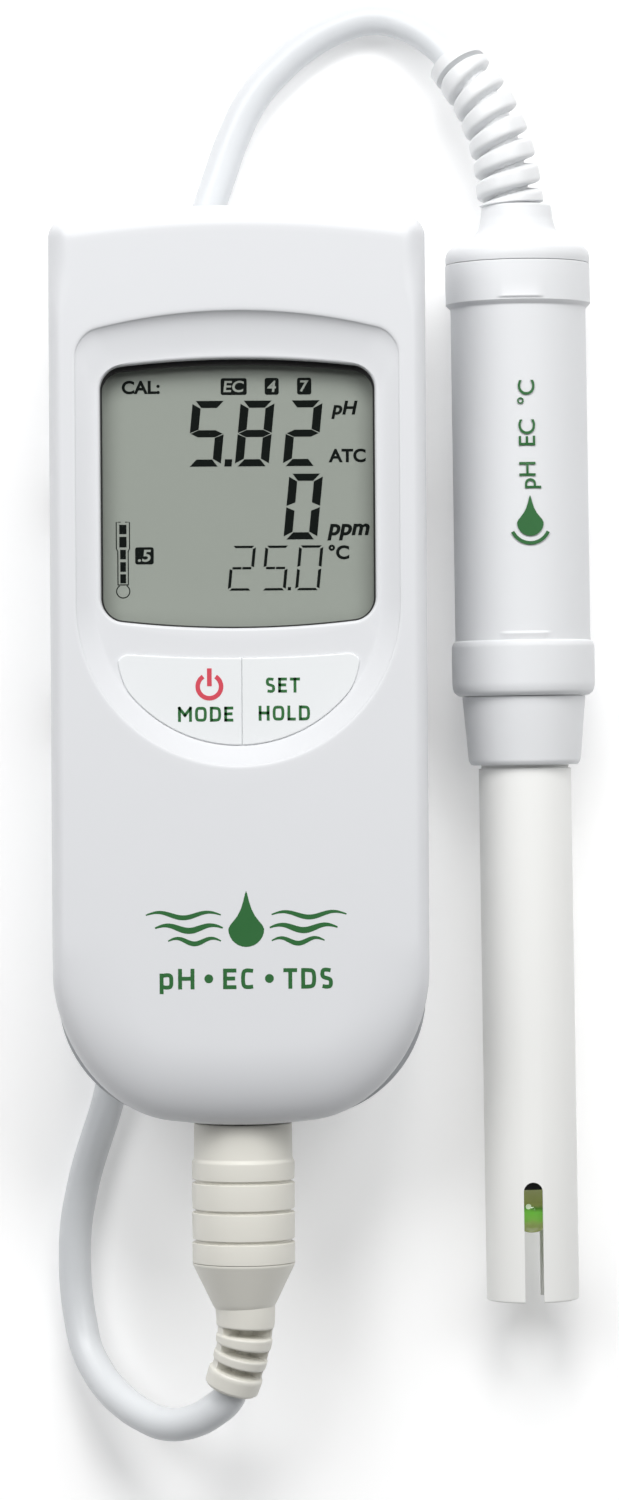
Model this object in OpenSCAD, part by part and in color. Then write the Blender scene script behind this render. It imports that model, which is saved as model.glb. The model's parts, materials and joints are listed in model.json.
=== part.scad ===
// Hand-held pH, EC and TDS meter with a corded combination probe.
// Millimetres. +X right across the display, +Y towards the top of the display, +Z out of its face.
// The origin is on the surface that the meter and its probe lie on, under their middle.

/* [Meter case] */
// Width of the case
case_w = 58.5; // [56:0.5:61]
// Highest point of the arched top end
case_top = 84.9; // [83:0.1:86]
// Lowest point of the round bottom end, on the minus Y side
case_bottom = 57.5; // [57:0.1:58]
// Thickness of the case from back to face
case_t = 30; // [29:0.5:32]
// Wall thickness of the covers
wall_t = 2; // [1.6:0.1:2.4]
// Radius of the two bottom corners in plan
corner_r = 20; // [14:0.5:22]
// Depth of the dish round the display and the keys
dish_depth = 2.4; // [1.6:0.1:2.8]

/* [Display and keys] */
// Width of the display window
window_w = 42.3; // [38:0.1:44]
// Lower edge of the display window
window_y0 = 19.4; // [18:0.1:21]
// Upper edge of the display window
window_y1 = 60.9; // [58:0.1:62]
// Travel of each key
key_travel = 0.7; // [0.4:0.1:0.9]
// Length of one AAA cell
cell_l = 44.5; // [44:0.1:45]
// Diameter of one AAA cell
cell_d = 10.4; // [10:0.1:10.6]

/* [Plug and cord] */
// Diameter of the cord
cord_d = 5.3; // [4.8:0.1:5.4]
// Outer diameter of the plug's locking ring
ring_d = 16.1; // [15.6:0.1:17]
// Radius of the outer turn of the hank, to the cord's centre
hank_r = 21.2; // [21:0.1:21.4]
// Length of the hank's straight runs
hank_run = 60; // [56:1:62]

/* [Probe] */
// Diameter of the collar at the top of the handle
collar_d = 23; // [22.6:0.1:23.4]
// Diameter of the handle's grip
grip_d = 21.5; // [20.5:0.1:22]
// Outer diameter of the electrode tube
tube_d = 14.7; // [14:0.1:15.5]
// Bore of the electrode tube
tube_bore = 11.2; // [10.8:0.1:11.6]
// Width of the slots at the tube's open end
slot_w = 3; // [2.5:0.1:3.5]
// Angle between the probe and the meter as they lie
probe_turn = 0.5; // [0:0.1:1]

/* [Hidden] */
$fn = 64;
fine = 0.01;                       // overlap that keeps a cut clean

meter_x = -13.5;                   // the case's middle
back_z = 11.5;                     // the case lies on the hank
probe_x = 30.75;                   // the probe's middle
probe_z = collar_d / 2;            // the top collar rests on the surface
part_z = 14.5;                     // parting plane above the back
half_w = case_w / 2;
plug_z = back_z + part_z;
top_arch_r = 183;
top_corner_r = 2.4;
top_corner_y = case_top - 4.8;
end_y = -case_bottom;
end_arch_r = 90;                   // the bottom end is slightly arched too

dish_z = case_t - dish_depth;      // floor of the dish above the back
dish_hw = 24.85;                   // half its width
dish_cy = 23.15;                   // centre of its round lower end
dish_top = 68.1;
dish_arch_r = 90;
pan_t = 2;                         // thickness of the dish's floor
pan_z = dish_z - pan_t;
window_arch_r = 154;
window_corner = 3;
key_r = 21.8;                      // the keys' round lower edge, about the dish's centre
key_top_y = 15.7;
key_side = 18.9;
key_gap = 0.35;                    // clearance round each key
key_z = dish_z + 0.55;             // top of the keys

seal_t = 0.5;
lens_t = 1.4;
lens_z = pan_z - seal_t - lens_t;  // underside of the window
lens_margin = 1.6;
lcd_t = 2.2;
lcd_z = lens_z - lcd_t - 0.1;
board_t = 1.6;
board_z = lcd_z - 3 - board_t;
board_w = 50;
board_y0 = -30;
board_y1 = 74;
cell_pitch = 11.6;
cell_y = 12;                       // lower end of the cells
cell_z = 1.9 + cell_d / 2 + 0.6;   // their axis above the back
bay_w = 3 * cell_pitch + 2;
bay_y0 = cell_y - 5;
bay_y1 = cell_y + cell_l + 5;
bay_top = cell_z + cell_d / 2 + 2;
screw_x = 24.6;
screw_y = [-34, -1, 76];
cover_screw_x = bay_w / 2 + 2.6;

socket_r = 6;                      // outside of the socket's shell
socket_bore = 4.95;
socket_end = -66;                  // the shell's outer end
pin_ring = 2.4;                    // the contacts stand on this radius
pin_r = 0.5;
pin_bore = 0.58;
pin_count = 5;
ring_r = ring_d / 2;
ring_bore = socket_r + 0.3;
ring_y0 = -79.1;
ring_y1 = -57.9;
cone_y0 = -86.7;
cone_y1 = -79.4;

cap_y = 77.55;                     // seam under the probe's cap
nub_y = 87;                        // top of the cap's nub
step_y = 71.0;                     // lower edge of the top collar
low1_y = 17.6;                     // lower collar, upper and lower edge
low0_y = 9;
ferrule_y = -2;                    // lower end of the ferrule
tube_end = -87;
slot_top = -67.9;
grip_r = grip_d / 2;
collar_r = collar_d / 2;
low_r = 11.35;
tube_r = tube_d / 2;
spigot_r = tube_r - 0.4;           // the tube's stepped end inside the ferrule
bore_r = tube_bore / 2;
stem_r = 4;
stem_end = -69.4;                  // lower end of the glass stem
bulb_y = -73.4;                    // middle of the sensing bulb
bulb_r = 3.1;

cord_r = cord_d / 2;
tie_t = 0.6;                       // thickness of the ties round the hank
hank_x = meter_x + 1.3;
hank_y0 = -10;                     // lower end of the straight runs
hank_y1 = hank_y0 + hank_run;
nest_z = cord_d * sin(60);         // rise of a turn that lies in the groove of two others
hank_h = cord_d + nest_z;

// The cord from the plug's boot to the hank: down to the surface in a loop, then under the case
LOWER = [
    [-15.4, -98.4, 24.7], [-16.2, -100.9, 23.8], [-18.4, -103.0, 22.6], [-21.8, -105.0, 20.6],
    [-25.8, -105.8, 17.6], [-29.6, -104.9, 14.2], [-33.0, -103.0, 11.0], [-35.7, -100.7, 8.2],
    [-37.7, -98.0, 6.0],
    [-39.1, -95.3, 4.4], [-40.1, -91.0, 3.2], [-40.8, -86.0, 2.7], [-41.0, -81.0, 2.7],
    [-40.8, -76.0, 2.7], [-40.0, -71.0, 2.7], [-38.8, -66.0, 2.7], [-37.2, -61.0, 2.7],
    [-35.6, -56.0, 2.7], [-34.4, -50.0, 2.7], [-33.7, -42.0, 2.7], [-33.4, -32.0, 2.7],
    [-33.4, -22.0, 2.9], [-33.4, -12.0, 3.2], [-33.4, -6.0, 3.3]];

// The cord from the hank's last turn to the probe: over the incoming cord, up beside the hank,
// out past the top of the case and round to the probe's relief
UPPER = [
    [-15.0, -32.8, 7.8], [-20.0, -32.8, 8.0], [-25.4, -31.2, 8.4], [-30.4, -27.6, 8.6],
    [-34.4, -23.0, 8.6], [-37.2, -17.6, 8.1], [-38.9, -11.0, 6.6], [-39.6, -3.0, 4.4],
    [-39.7, 6.0, 3.3], [-39.7, 16.0, 3.2], [-39.7, 26.0, 3.1], [-39.7, 36.0, 3.0],
    [-39.7, 46.0, 2.9], [-38.9, 54.0, 2.8], [-36.3, 61.4, 2.7], [-32.2, 67.6, 2.7],
    [-27.2, 73.2, 2.7], [-22.8, 78.8, 2.7], [-19.6, 84.6, 2.7], [-16.9, 92.0, 2.7],
    [-14.2, 99.4, 2.7], [-11.0, 105.6, 2.7], [-6.8, 110.4, 2.7], [-2.2, 114.2, 2.7],
    [3.0, 116.9, 2.8], [8.3, 118.1, 3.2], [13.3, 117.0, 4.2], [17.5, 114.4, 5.8],
    [21.2, 110.6, 7.6]];

// Centres of the ribs along the plug's boot, and of the coils along the probe's relief
BOOT = [
    [-12.9, -84.0, 26.0], [-13.0, -88.2, 25.9], [-13.5, -91.8, 25.7], [-14.2, -95.3, 25.2],
    [-15.6, -99.2, 24.5]];
RELIEF = [
    [29.95, 87.0, 11.5], [29.65, 89.2, 11.5], [29.15, 93.2, 11.4], [28.25, 97.1, 11.1],
    [26.95, 100.8, 10.6], [25.25, 104.4, 9.8], [22.95, 107.9, 8.8], [21.05, 110.6, 7.6]];

// ---- frames -------------------------------------------------------------------------------

// From the case's own frame, with z above its back, to the row frame
module at_meter() {
    translate([meter_x, 0, back_z]) children();
}

// Things turned about the plug's axis: local z is the row's Y
module at_plug() {
    translate([meter_x, 0, plug_z]) rotate([-90, 0, 0]) children();
}

// Things turned about the probe's axis: local z runs up the probe, local -y is the row's Z
module at_probe() {
    translate([probe_x, 0, probe_z]) rotate([0, 0, probe_turn]) rotate([-90, 0, 0]) children();
}

// A cylinder between two heights on the local z axis
module bar(z0, z1, r) {
    translate([0, 0, z0]) cylinder(h = z1 - z0, r = r);
}

// A plain ring between two heights
module sleeve(z0, z1, r, bore) {
    difference() {
        bar(z0, z1, r);
        bar(z0 - 1, z1 + 1, bore);
    }
}

// An O-ring: its section's radius is r
module o_ring(z, centre_r, r) {
    translate([0, 0, z]) rotate_extrude() translate([centre_r, 0]) circle(r = r, $fn = 24);
}

// ---- sweeping a round section along a route -----------------------------------------------

function unit(v) = v / norm(v);
function along(p, i) = unit(p[min(i + 1, len(p) - 1)] - p[max(i - 1, 0)]);
function side_of(t) = unit(cross(t, [0, 0, 1]));
function ring_at(p, i, r, n) =
    let (t = along(p, i), s = side_of(t), u = cross(s, t))
    [for (k = [0 : n - 1]) p[i] + r * (s * cos(360 * k / n) + u * sin(360 * k / n))];

// A closed tube along the route p, with radius r[i] at each point and n flat sides
module sweep(p, r, n = 10) {
    m = len(p);
    rings = [for (i = [0 : m - 1]) each ring_at(p, i, r[i], n)];
    walls = [for (i = [0 : m - 2], k = [0 : n - 1])
        let (a = i * n + k, b = i * n + (k + 1) % n) [a, b, b + n, a + n]];
    start = [for (k = [0 : n - 1]) n - 1 - k];
    finish = [for (k = [0 : n - 1]) (m - 1) * n + k];
    polyhedron(points = rings, faces = concat([start], walls, [finish]), convexity = 8);
}

// A disc across the route at point i
module disc_on(p, i, r, h, lean = 0) {
    t = along(p, i);
    translate(p[i])
        rotate([0, acos(t[2]), atan2(t[1], t[0])])
            rotate([lean, 0, 0])
                translate([0, 0, -h / 2]) cylinder(h = h, r = r, $fn = 32);
}

// ---- outlines -----------------------------------------------------------------------------

// The case in plan, drawn in by inset
module case_outline(inset = 0) {
    w = half_w - inset;
    r = corner_r - inset;
    top_r = max(top_corner_r - inset, 0.4);
    cx = w - r;
    cy = end_y + corner_r;
    intersection() {
        union() {
            translate([-w, cy]) square([2 * w, top_corner_y - cy]);
            translate([-cx, end_y + inset]) square([2 * cx, r]);
            for (s = [-1, 1]) {
                translate([s * cx, cy]) circle(r = r);
                translate([s * (w - top_r), top_corner_y]) circle(r = top_r);
            }
            translate([-w + top_r, cy]) square([2 * (w - top_r), case_top - inset - cy]);
        }
        translate([0, case_top - top_arch_r]) circle(r = top_arch_r - inset, $fn = 360);
        translate([0, end_y + end_arch_r]) circle(r = end_arch_r - inset, $fn = 240);
    }
}

// The dish in plan
module dish_outline(grow = 0) {
    w = dish_hw + grow;
    intersection() {
        union() {
            translate([0, dish_cy]) circle(r = w);
            translate([-w, dish_cy]) square([2 * w, 60]);
        }
        translate([0, dish_top - dish_arch_r]) circle(r = dish_arch_r + grow, $fn = 240);
    }
}

// The display window in plan, with arched ends and round corners
module window_outline(grow = 0) {
    w = window_w / 2 + grow;
    r = window_corner + grow;
    h = window_y1 - window_y0 + 2 * grow;
    cy = (window_y0 + window_y1) / 2;
    reach = window_arch_r - h / 2;
    intersection() {
        translate([0, cy + reach]) circle(r = window_arch_r, $fn = 300);
        translate([0, cy - reach]) circle(r = window_arch_r, $fn = 300);
        union() {
            translate([-w, cy - h / 2 + 1.3 + r]) square([2 * w, h - 2.6 - 2 * r]);
            translate([-w + r, cy - h / 2]) square([2 * (w - r), h]);
            for (sx = [-1, 1], sy = [-1, 1])
                translate([sx * (w - r), cy + sy * (h / 2 - 1.3 - r)]) circle(r = r);
        }
    }
}

// One key in plan: side -1 is the left half of the D, side 1 the right half
module key_outline(side, grow = 0) {
    intersection() {
        translate([0, dish_cy]) circle(r = key_r + grow);
        translate([side < 0 ? -key_side - grow : key_gap - grow, -10])
            square([key_side - key_gap + 2 * grow, key_top_y + 10 + grow]);
    }
}

// A rectangular plate centred on x = 0
module plate(w, y0, y1, z0, h) {
    translate([-w / 2, y0, z0]) cube([w, y1 - y0, h]);
}

// ---- meter --------------------------------------------------------------------------------

// The case's outline without its last few millimetres at the round bottom end
module nose_outline(inset, short) {
    intersection() {
        case_outline(inset);
        translate([-half_w, end_y + short]) square([case_w, 3 * case_w]);
    }
}

// Upper part of the case, with a softened edge round the face and a sloping nose
module front_block() {
    hull() {
        translate([0, 0, part_z]) linear_extrude(case_t - part_z - 5) case_outline();
        translate([0, 0, case_t - 2.2]) linear_extrude(0.6) nose_outline(1.2, 5);
        translate([0, 0, case_t - 0.4]) linear_extrude(0.4) nose_outline(4, 12);
    }
}

module front_cover() {
    color([0.91, 0.92, 0.93]) at_meter() difference() {
        union() {
            difference() {
                front_block();
                translate([0, 0, part_z - 1]) linear_extrude(pan_z + 1 - part_z) case_outline(wall_t);
            }
            for (x = [-screw_x, screw_x], y = screw_y)
                translate([x, y, part_z]) cylinder(h = pan_z - part_z + fine, r = 2.6);
        }
        translate([0, 0, dish_z]) linear_extrude(10) dish_outline();
        translate([0, 0, pan_z - 1]) linear_extrude(10) window_outline();
        for (s = [-1, 1]) translate([0, 0, pan_z - 1]) linear_extrude(10) key_outline(s, key_gap);
        for (x = [-screw_x, screw_x], y = screw_y)
            translate([x, y, part_z - 1]) cylinder(h = 8, r = 1.1);
        translate([0, 0, part_z]) rotate([90, 0, 0]) cylinder(h = 80, r = socket_r + 0.1);
    }
}

module rear_cover() {
    color([0.9, 0.91, 0.92]) at_meter() difference() {
        union() {
            difference() {
                hull() {
                    linear_extrude(0.4) case_outline(5);
                    translate([0, 0, 2]) linear_extrude(0.4) case_outline(1.6);
                    translate([0, 0, 6]) linear_extrude(part_z - 6.6) case_outline();
                }
                translate([0, 0, wall_t]) linear_extrude(20) case_outline(wall_t + 2.4);
                translate([0, 0, 6]) linear_extrude(20) case_outline(wall_t);
            }
            for (x = [-screw_x, screw_x], y = screw_y)
                translate([x, y, 1]) cylinder(h = part_z - 1.6, r = 3.2);
        }
        plate(bay_w - 0.2, bay_y0 - 0.2, bay_y1 + 0.2, -1, 20);
        plate(bay_w + 9, bay_y0 - 2, bay_y1 + 2, -1, 2.6);
        for (x = [-screw_x, screw_x], y = screw_y) {
            translate([x, y, -1]) cylinder(h = 20, r = 1.45);
            translate([x, y, -1]) cylinder(h = 3.4, r = 2.6);
        }
        for (x = [-cover_screw_x, cover_screw_x], y = [bay_y0 + 4, bay_y1 - 4])
            translate([x, y, -1]) cylinder(h = 6, r = 0.9);
        translate([0, 0, part_z]) rotate([90, 0, 0]) cylinder(h = 80, r = socket_r + 0.1);
    }
}

module case_gasket() {
    color([0.35, 0.36, 0.38]) at_meter() translate([0, 0, part_z - 0.6]) difference() {
        linear_extrude(0.6) case_outline(0.5);
        translate([0, 0, -1]) linear_extrude(3) case_outline(wall_t - 0.2);
        translate([0, 0, 0.6]) rotate([90, 0, 0]) cylinder(h = 80, r = socket_r + 0.1);
    }
}

// A pan-head screw: the head lies below z = 0 and the shank rises from it
module screw(head_r, head_h, shank_r, length) {
    difference() {
        union() {
            translate([0, 0, -head_h]) cylinder(h = head_h, r = head_r);
            cylinder(h = length, r = shank_r);
        }
        for (a = [0, 90]) rotate([0, 0, a])
            translate([-head_r * 0.6, -0.25, -head_h - 1]) cube([head_r * 1.2, 0.5, 1.7]);
    }
}

module case_screws() {
    color([0.72, 0.73, 0.75]) at_meter() for (x = [-screw_x, screw_x], y = screw_y)
        translate([x, y, 2.4]) screw(2.4, 1.5, 1.1, 16);
}

module display_window() {
    color([0.75, 0.8, 0.78, 0.35]) at_meter()
        translate([0, 0, lens_z]) linear_extrude(lens_t) window_outline(lens_margin);
}

module window_seal() {
    color([0.2, 0.2, 0.21]) at_meter() translate([0, 0, lens_z + lens_t]) difference() {
        linear_extrude(seal_t) window_outline(lens_margin);
        translate([0, 0, -1]) linear_extrude(3) window_outline(0.4);
    }
}

module lcd_glass() {
    color([0.62, 0.65, 0.61]) at_meter()
        plate(window_w + 1, window_y0 - 0.4, window_y1 + 0.4, lcd_z, lcd_t);
}

module lcd_frame() {
    color([0.82, 0.83, 0.84]) at_meter() difference() {
        plate(window_w + 4, window_y0 - 2, window_y1 + 2, board_z + board_t, lens_z - board_z - board_t);
        plate(window_w + 1, window_y0 - 0.4, window_y1 + 0.4, board_z, 20);
    }
}

module zebra_strips() {
    color([0.85, 0.6, 0.65]) at_meter() for (y = [window_y0 + 0.4, window_y1 - 3.4])
        plate(window_w - 2, y, y + 3, board_z + board_t, lcd_z - board_z - board_t);
}

module main_board() {
    color([0.1, 0.4, 0.22]) at_meter() difference() {
        plate(board_w - 4, board_y0, board_y1, board_z, board_t);
        for (x = [-screw_x, screw_x], y = screw_y) translate([x, y, 0]) cylinder(h = 40, r = 3);
        for (x = [-15, 15], y = [-24, 70]) translate([x, y, 0]) cylinder(h = 40, r = 1.2);
    }
}

module board_parts() {
    under = board_z - 2;
    color([0.12, 0.12, 0.13]) at_meter() {
        plate(12, -8, 4, under, 2);
        translate([-14, -14, under]) cube([8, 5, 2]);
        translate([8, -20, under]) cube([5, 4, 2]);
        for (i = [0 : 5]) translate([-18 + 7 * i, -27, under + 1]) cube([2, 1.2, 1]);
        translate([17, -6, board_z - 3.4]) cylinder(h = 3.4, r = 2);
    }
}

module board_screws() {
    color([0.72, 0.73, 0.75]) at_meter() for (x = [-15, 15], y = [-24, 70])
        translate([x, y, board_z]) screw(2, 1.2, 1, 4);
}

module key_mat() {
    color([0.86, 0.87, 0.88]) at_meter() difference() {
        translate([0, 0, pan_z - 1.6]) linear_extrude(0.8) intersection() {
            translate([0, dish_cy]) circle(r = key_r + 1.6);
            translate([-key_side - 1.6, -2]) square([2 * key_side + 3.2, key_top_y + 3.2]);
        }
        plate(window_w + 4.4, window_y0 - 2.2, window_y1, 0, 40);
    }
}

// A key cap that passes through the dish's floor and stops on the mat
module key_cap(side) {
    at_meter() {
        translate([0, 0, pan_z - 0.8 + key_travel]) linear_extrude(key_z - pan_z + 0.8 - key_travel)
            key_outline(side);
    }
}

module mode_button() { color([0.93, 0.93, 0.94]) key_cap(-1); }
module set_button() { color([0.93, 0.93, 0.94]) key_cap(1); }

module key_switches() {
    color([0.75, 0.76, 0.78]) at_meter() for (x = [-9, 9]) translate([x, 8.6, 0]) {
        translate([-3, -3, board_z + board_t]) cube([6, 6, 2.4]);
        translate([0, 0, board_z + board_t + 2.4]) cylinder(h = 1, r = 1.7);
    }
}

module battery_bay() {
    color([0.15, 0.15, 0.16]) at_meter() difference() {
        plate(bay_w - 0.6, bay_y0 + 0.2, bay_y1 - 0.2, 2.2, bay_top - 2.2);
        plate(bay_w - 3, bay_y0 + 1.7, bay_y1 - 1.7, 0, bay_top - 1.5);
    }
}

// Cell i: 0, 1, 2 from the left; the middle one lies the other way round
module cell(i) {
    flip = i == 1 ? -1 : 1;
    at_meter() translate([(i - 1) * cell_pitch, cell_y + cell_l / 2, cell_z]) rotate([-90 * flip, 0, 0]) {
        translate([0, 0, -cell_l / 2]) cylinder(h = cell_l - 1, r = cell_d / 2);
        translate([0, 0, cell_l / 2 - 1 - fine]) cylinder(h = 1, r = 1.9);
    }
}

module battery_1() { color([0.2, 0.45, 0.3]) cell(0); }
module battery_2() { color([0.2, 0.45, 0.3]) cell(1); }
module battery_3() { color([0.2, 0.45, 0.3]) cell(2); }

// Conical springs on the cells' flat ends, as stacks of rings
module battery_springs() {
    color([0.8, 0.8, 0.8]) at_meter() for (i = [0 : 2]) {
        down = i == 1 ? 1 : -1;
        y = i == 1 ? cell_y + cell_l : cell_y;
        for (k = [0 : 2])
            translate([(i - 1) * cell_pitch, y + down * (0.45 + 0.8 * k), cell_z])
                rotate([90, 0, 0]) o_ring(0, 2 + 0.6 * k, 0.4);
    }
}

module battery_contacts() {
    color([0.8, 0.8, 0.8]) at_meter() for (i = [0 : 2], end = [0, 1])
        translate([(i - 1) * cell_pitch - 4, end == 0 ? bay_y0 + 1.7 : bay_y1 - 2.1, cell_z - 4])
            cube([8, 0.4, 8]);
}

module battery_cover() {
    color([0.89, 0.9, 0.91]) at_meter() difference() {
        plate(bay_w + 8.6, bay_y0 - 1.8, bay_y1 + 1.8, 0.1, 1.1);
        for (x = [-cover_screw_x, cover_screw_x], y = [bay_y0 + 4, bay_y1 - 4]) {
            translate([x, y, -1]) cylinder(h = 6, r = 1);
            translate([x, y, -1]) cylinder(h = 1.52, r = 1.8);
        }
        for (k = [0 : 5]) plate(16, bay_y1 - 8 - 1.8 * k, bay_y1 - 7.2 - 1.8 * k, -1, 1.5);
    }
}

module battery_cover_seal() {
    color([0.25, 0.25, 0.26]) at_meter() difference() {
        plate(bay_w + 3, bay_y0 - 1.5, bay_y1 + 1.5, 1.2, 0.4);
        plate(bay_w, bay_y0, bay_y1, 0, 4);
    }
}

module battery_cover_screws() {
    color([0.72, 0.73, 0.75]) at_meter()
        for (x = [-cover_screw_x, cover_screw_x], y = [bay_y0 + 4, bay_y1 - 4])
            translate([x, y, 0.5]) screw(1.7, 0.4, 0.9, 4.5);
}

// ---- socket and plug ----------------------------------------------------------------------

// Places the contacts round the plug's axis
module round_pins() {
    for (k = [0 : pin_count - 1]) rotate([0, 0, -90 + 50 * (k - 2)]) translate([pin_ring, 0, 0]) children();
}

module socket_shell() {
    color([0.78, 0.79, 0.8]) at_plug() difference() {
        union() {
            bar(socket_end, -49, socket_r);
            bar(-54.9, -53.4, 8);
            for (k = [0 : 4]) bar(socket_end + 0.8 + 1.2 * k, socket_end + 1.3 + 1.2 * k, socket_r + 0.12);
        }
        bar(socket_end - 1, -48, socket_bore);
    }
}

module socket_insulator() {
    color([0.13, 0.13, 0.14]) at_plug() difference() {
        union() {
            bar(-64, -52, 3.85);
            bar(-54, -50, socket_bore);
        }
        round_pins() bar(-65, -49, 0.9);
    }
}

module socket_contacts() {
    color([0.83, 0.68, 0.35]) at_plug() round_pins() difference() {
        bar(-63.8, -47.5, 0.88);
        bar(-64.8, -56, pin_bore);
    }
}

// Its outer face follows the arched end wall
module socket_seal() {
    color([0.15, 0.15, 0.16]) intersection() {
        at_plug() sleeve(-55.6, -54.9, 7.6, 6.2);
        translate([meter_x, 0, 0]) linear_extrude(plug_z + 10) case_outline(wall_t + 0.02);
    }
}

module socket_leads() {
    color([0.7, 0.25, 0.2]) for (k = [-1, 0, 1])
        sweep([for (q = [0 : 5]) [meter_x + 1.6 * k + 0.3 * k * q, -47.4 + 3.4 * q,
            plug_z + 1.5 - 0.2 * q + (board_z + back_z - plug_z - 1.6) * q / 5]],
            [for (q = [0 : 5]) 0.5], 8);
}

module lock_ring() {
    color([0.88, 0.87, 0.83]) at_plug() rotate_extrude() difference() {
        union() {
            translate([0, -63.5]) square([7.7, 63.5 + ring_y1]);
            translate([0, ring_y0]) square([ring_r, -63.3 - ring_y0]);
        }
        translate([-1, -69]) square([ring_bore + 1, 20]);
        translate([-1, ring_y0 - 1]) square([5.3 + 1, 20]);
        translate([-1, ring_y0 - 1]) square([ring_bore + 1, 9]);
        for (y = [-66.4, -71.4, -75.8]) translate([ring_r - 0.55, y - 0.5]) square([2, 1]);
    }
}

module plug_housing() {
    color([0.86, 0.85, 0.81]) at_plug() rotate_extrude() polygon([
        [3.4, cone_y0], [4.6, cone_y0], [5.4, -85.6], [7.6, -81.4], [ring_r - 0.1, -80.6],
        [ring_r - 0.1, cone_y1], [6, cone_y1], [6, -71.4], [5, -71.4], [5, -68.6],
        [3.4, -68.6]]);
}

module plug_insert() {
    color([0.13, 0.13, 0.14]) at_plug() difference() {
        bar(-72.5, -67, 3.35);
        round_pins() bar(-73, -66, 0.52);
    }
}

module plug_pins() {
    color([0.83, 0.68, 0.35]) at_plug() round_pins() bar(-74.5, -59.5, pin_r);
}

module plug_shield() {
    color([0.78, 0.79, 0.8]) at_plug() {
        sleeve(-68.5, -58.5, 4.65, 4.2);
        sleeve(-68.5, -67, 6, 3.4);
    }
}

module plug_seal() {
    color([0.15, 0.15, 0.16]) at_plug() sleeve(-66.9, -66.1, 5.9, 4.75);
}

module plug_boot() {
    color([0.88, 0.87, 0.83]) {
        at_plug() bar(-86.6, -80, 3.3);
        sweep(BOOT, [for (i = [0 : len(BOOT) - 1]) 3.3 - 0.08 * i], 12);
        for (i = [1 : len(BOOT) - 2]) disc_on(BOOT, i, 4.6 - 0.05 * i, 2.3);
        disc_on(BOOT, len(BOOT) - 1, 4.3, 2.4);
    }
}

// ---- cord ---------------------------------------------------------------------------------

module cord_lower() {
    color([0.82, 0.83, 0.85]) sweep(LOWER, [for (q = LOWER) cord_r], 8);
}

module cord_upper() {
    color([0.82, 0.83, 0.85]) sweep(UPPER, [for (q = UPPER) cord_r], 8);
}

// A stadium round the hank's runs, with its ends' radius r
module stadium(r) {
    translate([hank_x - r, hank_y0]) square([2 * r, hank_run]);
    for (y = [hank_y0, hank_y1]) translate([hank_x, y]) circle(r = r);
}

module cord_hank() {
    color([0.82, 0.83, 0.85]) translate([0, 0, tie_t]) linear_extrude(hank_h) difference() {
        stadium(hank_r + cord_r);
        stadium(hank_r - 3 * cord_r);
    }
}

// Straps round the two runs; the left one also holds the cord that leaves the hank
module hank_ties() {
    inner = hank_r - 3 * cord_r;
    outer = hank_r + cord_r;
    left = hank_x - 30.2;
    color([0.2, 0.2, 0.22]) for (y = [2, 36]) {
        translate([0, y, 0]) rotate([90, 0, 180]) mirror([1, 0, 0]) linear_extrude(8) {
            difference() {
                polygon([[left, 0], [hank_x - inner + tie_t, 0],
                    [hank_x - inner + tie_t, hank_h + 2 * tie_t],
                    [hank_x - outer - tie_t, hank_h + 2 * tie_t], [left, 6.5]]);
                polygon([[left + 0.05, tie_t / 2], [hank_x - inner, tie_t], [hank_x - inner, hank_h + tie_t],
                    [hank_x - outer, hank_h + tie_t], [left + 0.05, 6]]);
            }
            difference() {
                translate([hank_x + inner - tie_t, 0])
                    square([outer - inner + 2 * tie_t, hank_h + 2 * tie_t]);
                translate([hank_x + inner, tie_t]) square([outer - inner, hank_h]);
            }
        }
    }
}

// ---- probe --------------------------------------------------------------------------------

module probe_gland() {
    last = len(RELIEF) - 1;
    color([0.93, 0.94, 0.95]) {
        sweep(RELIEF, [for (i = [0 : last]) 3.6 - 0.05 * i], 12);
        for (i = [1 : last - 1]) disc_on(RELIEF, i, 5 - 0.08 * i, 2.5);
        disc_on(RELIEF, last, 4.2, 2);
    }
}

module probe_cap() {
    color([0.92, 0.93, 0.94]) at_probe() difference() {
        rotate_extrude() polygon([
            [0, cap_y - 4], [9.2, cap_y - 4], [9.2, cap_y - 2.8], [8.1, cap_y - 2.8],
            [8.1, cap_y - 1.4], [9.2, cap_y - 1.4], [9.2, cap_y + 0.1],
            [collar_r - 0.05, cap_y + 0.1], [collar_r - 0.05, 79.2], [collar_r - 0.7, 80.4],
            [7.8, 81.5], [6.3, 82.7], [5.7, 84.6], [5.5, nub_y], [0, nub_y]]);
        bar(70, 90, 3);
    }
}

module cap_seal() {
    color([0.15, 0.15, 0.16]) at_probe() o_ring(cap_y - 2.1, 8.74, 0.6);
}

module handle_shell() {
    color([0.91, 0.92, 0.93]) at_probe() difference() {
        rotate_extrude() polygon([
            [0, low0_y], [low_r - 1, low0_y], [low_r - 0.3, low0_y + 0.5], [low_r, low0_y + 1.4],
            [low_r, low1_y - 0.6], [low_r - 0.2, low1_y], [grip_r, low1_y + 0.1], [grip_r, step_y - 0.3],
            [collar_r, step_y + 0.3], [collar_r, cap_y], [0, cap_y]]);
        bar(0, 90, 9.35);
    }
}

module amplifier_board() {
    color([0.1, 0.4, 0.22]) at_probe() {
        translate([-7, -0.8, 22]) cube([14, 1.6, 46]);
        translate([-3, 0.7, 40]) cube([6, 2, 6]);
        translate([-5, 0.7, 28]) cube([3, 1.4, 3]);
        translate([2, 0.7, 54]) cube([3, 1.4, 5]);
    }
}

module ferrule() {
    color([0.9, 0.91, 0.92]) at_probe() difference() {
        rotate_extrude() polygon([
            [0, ferrule_y], [8.6, ferrule_y], [8.95, ferrule_y + 0.5], [9.8, low0_y - 0.1],
            [9.3, low0_y - 0.1], [9.3, 15], [0, 15]]);
        bar(-10, 20, spigot_r + 0.02);
    }
}

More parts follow.
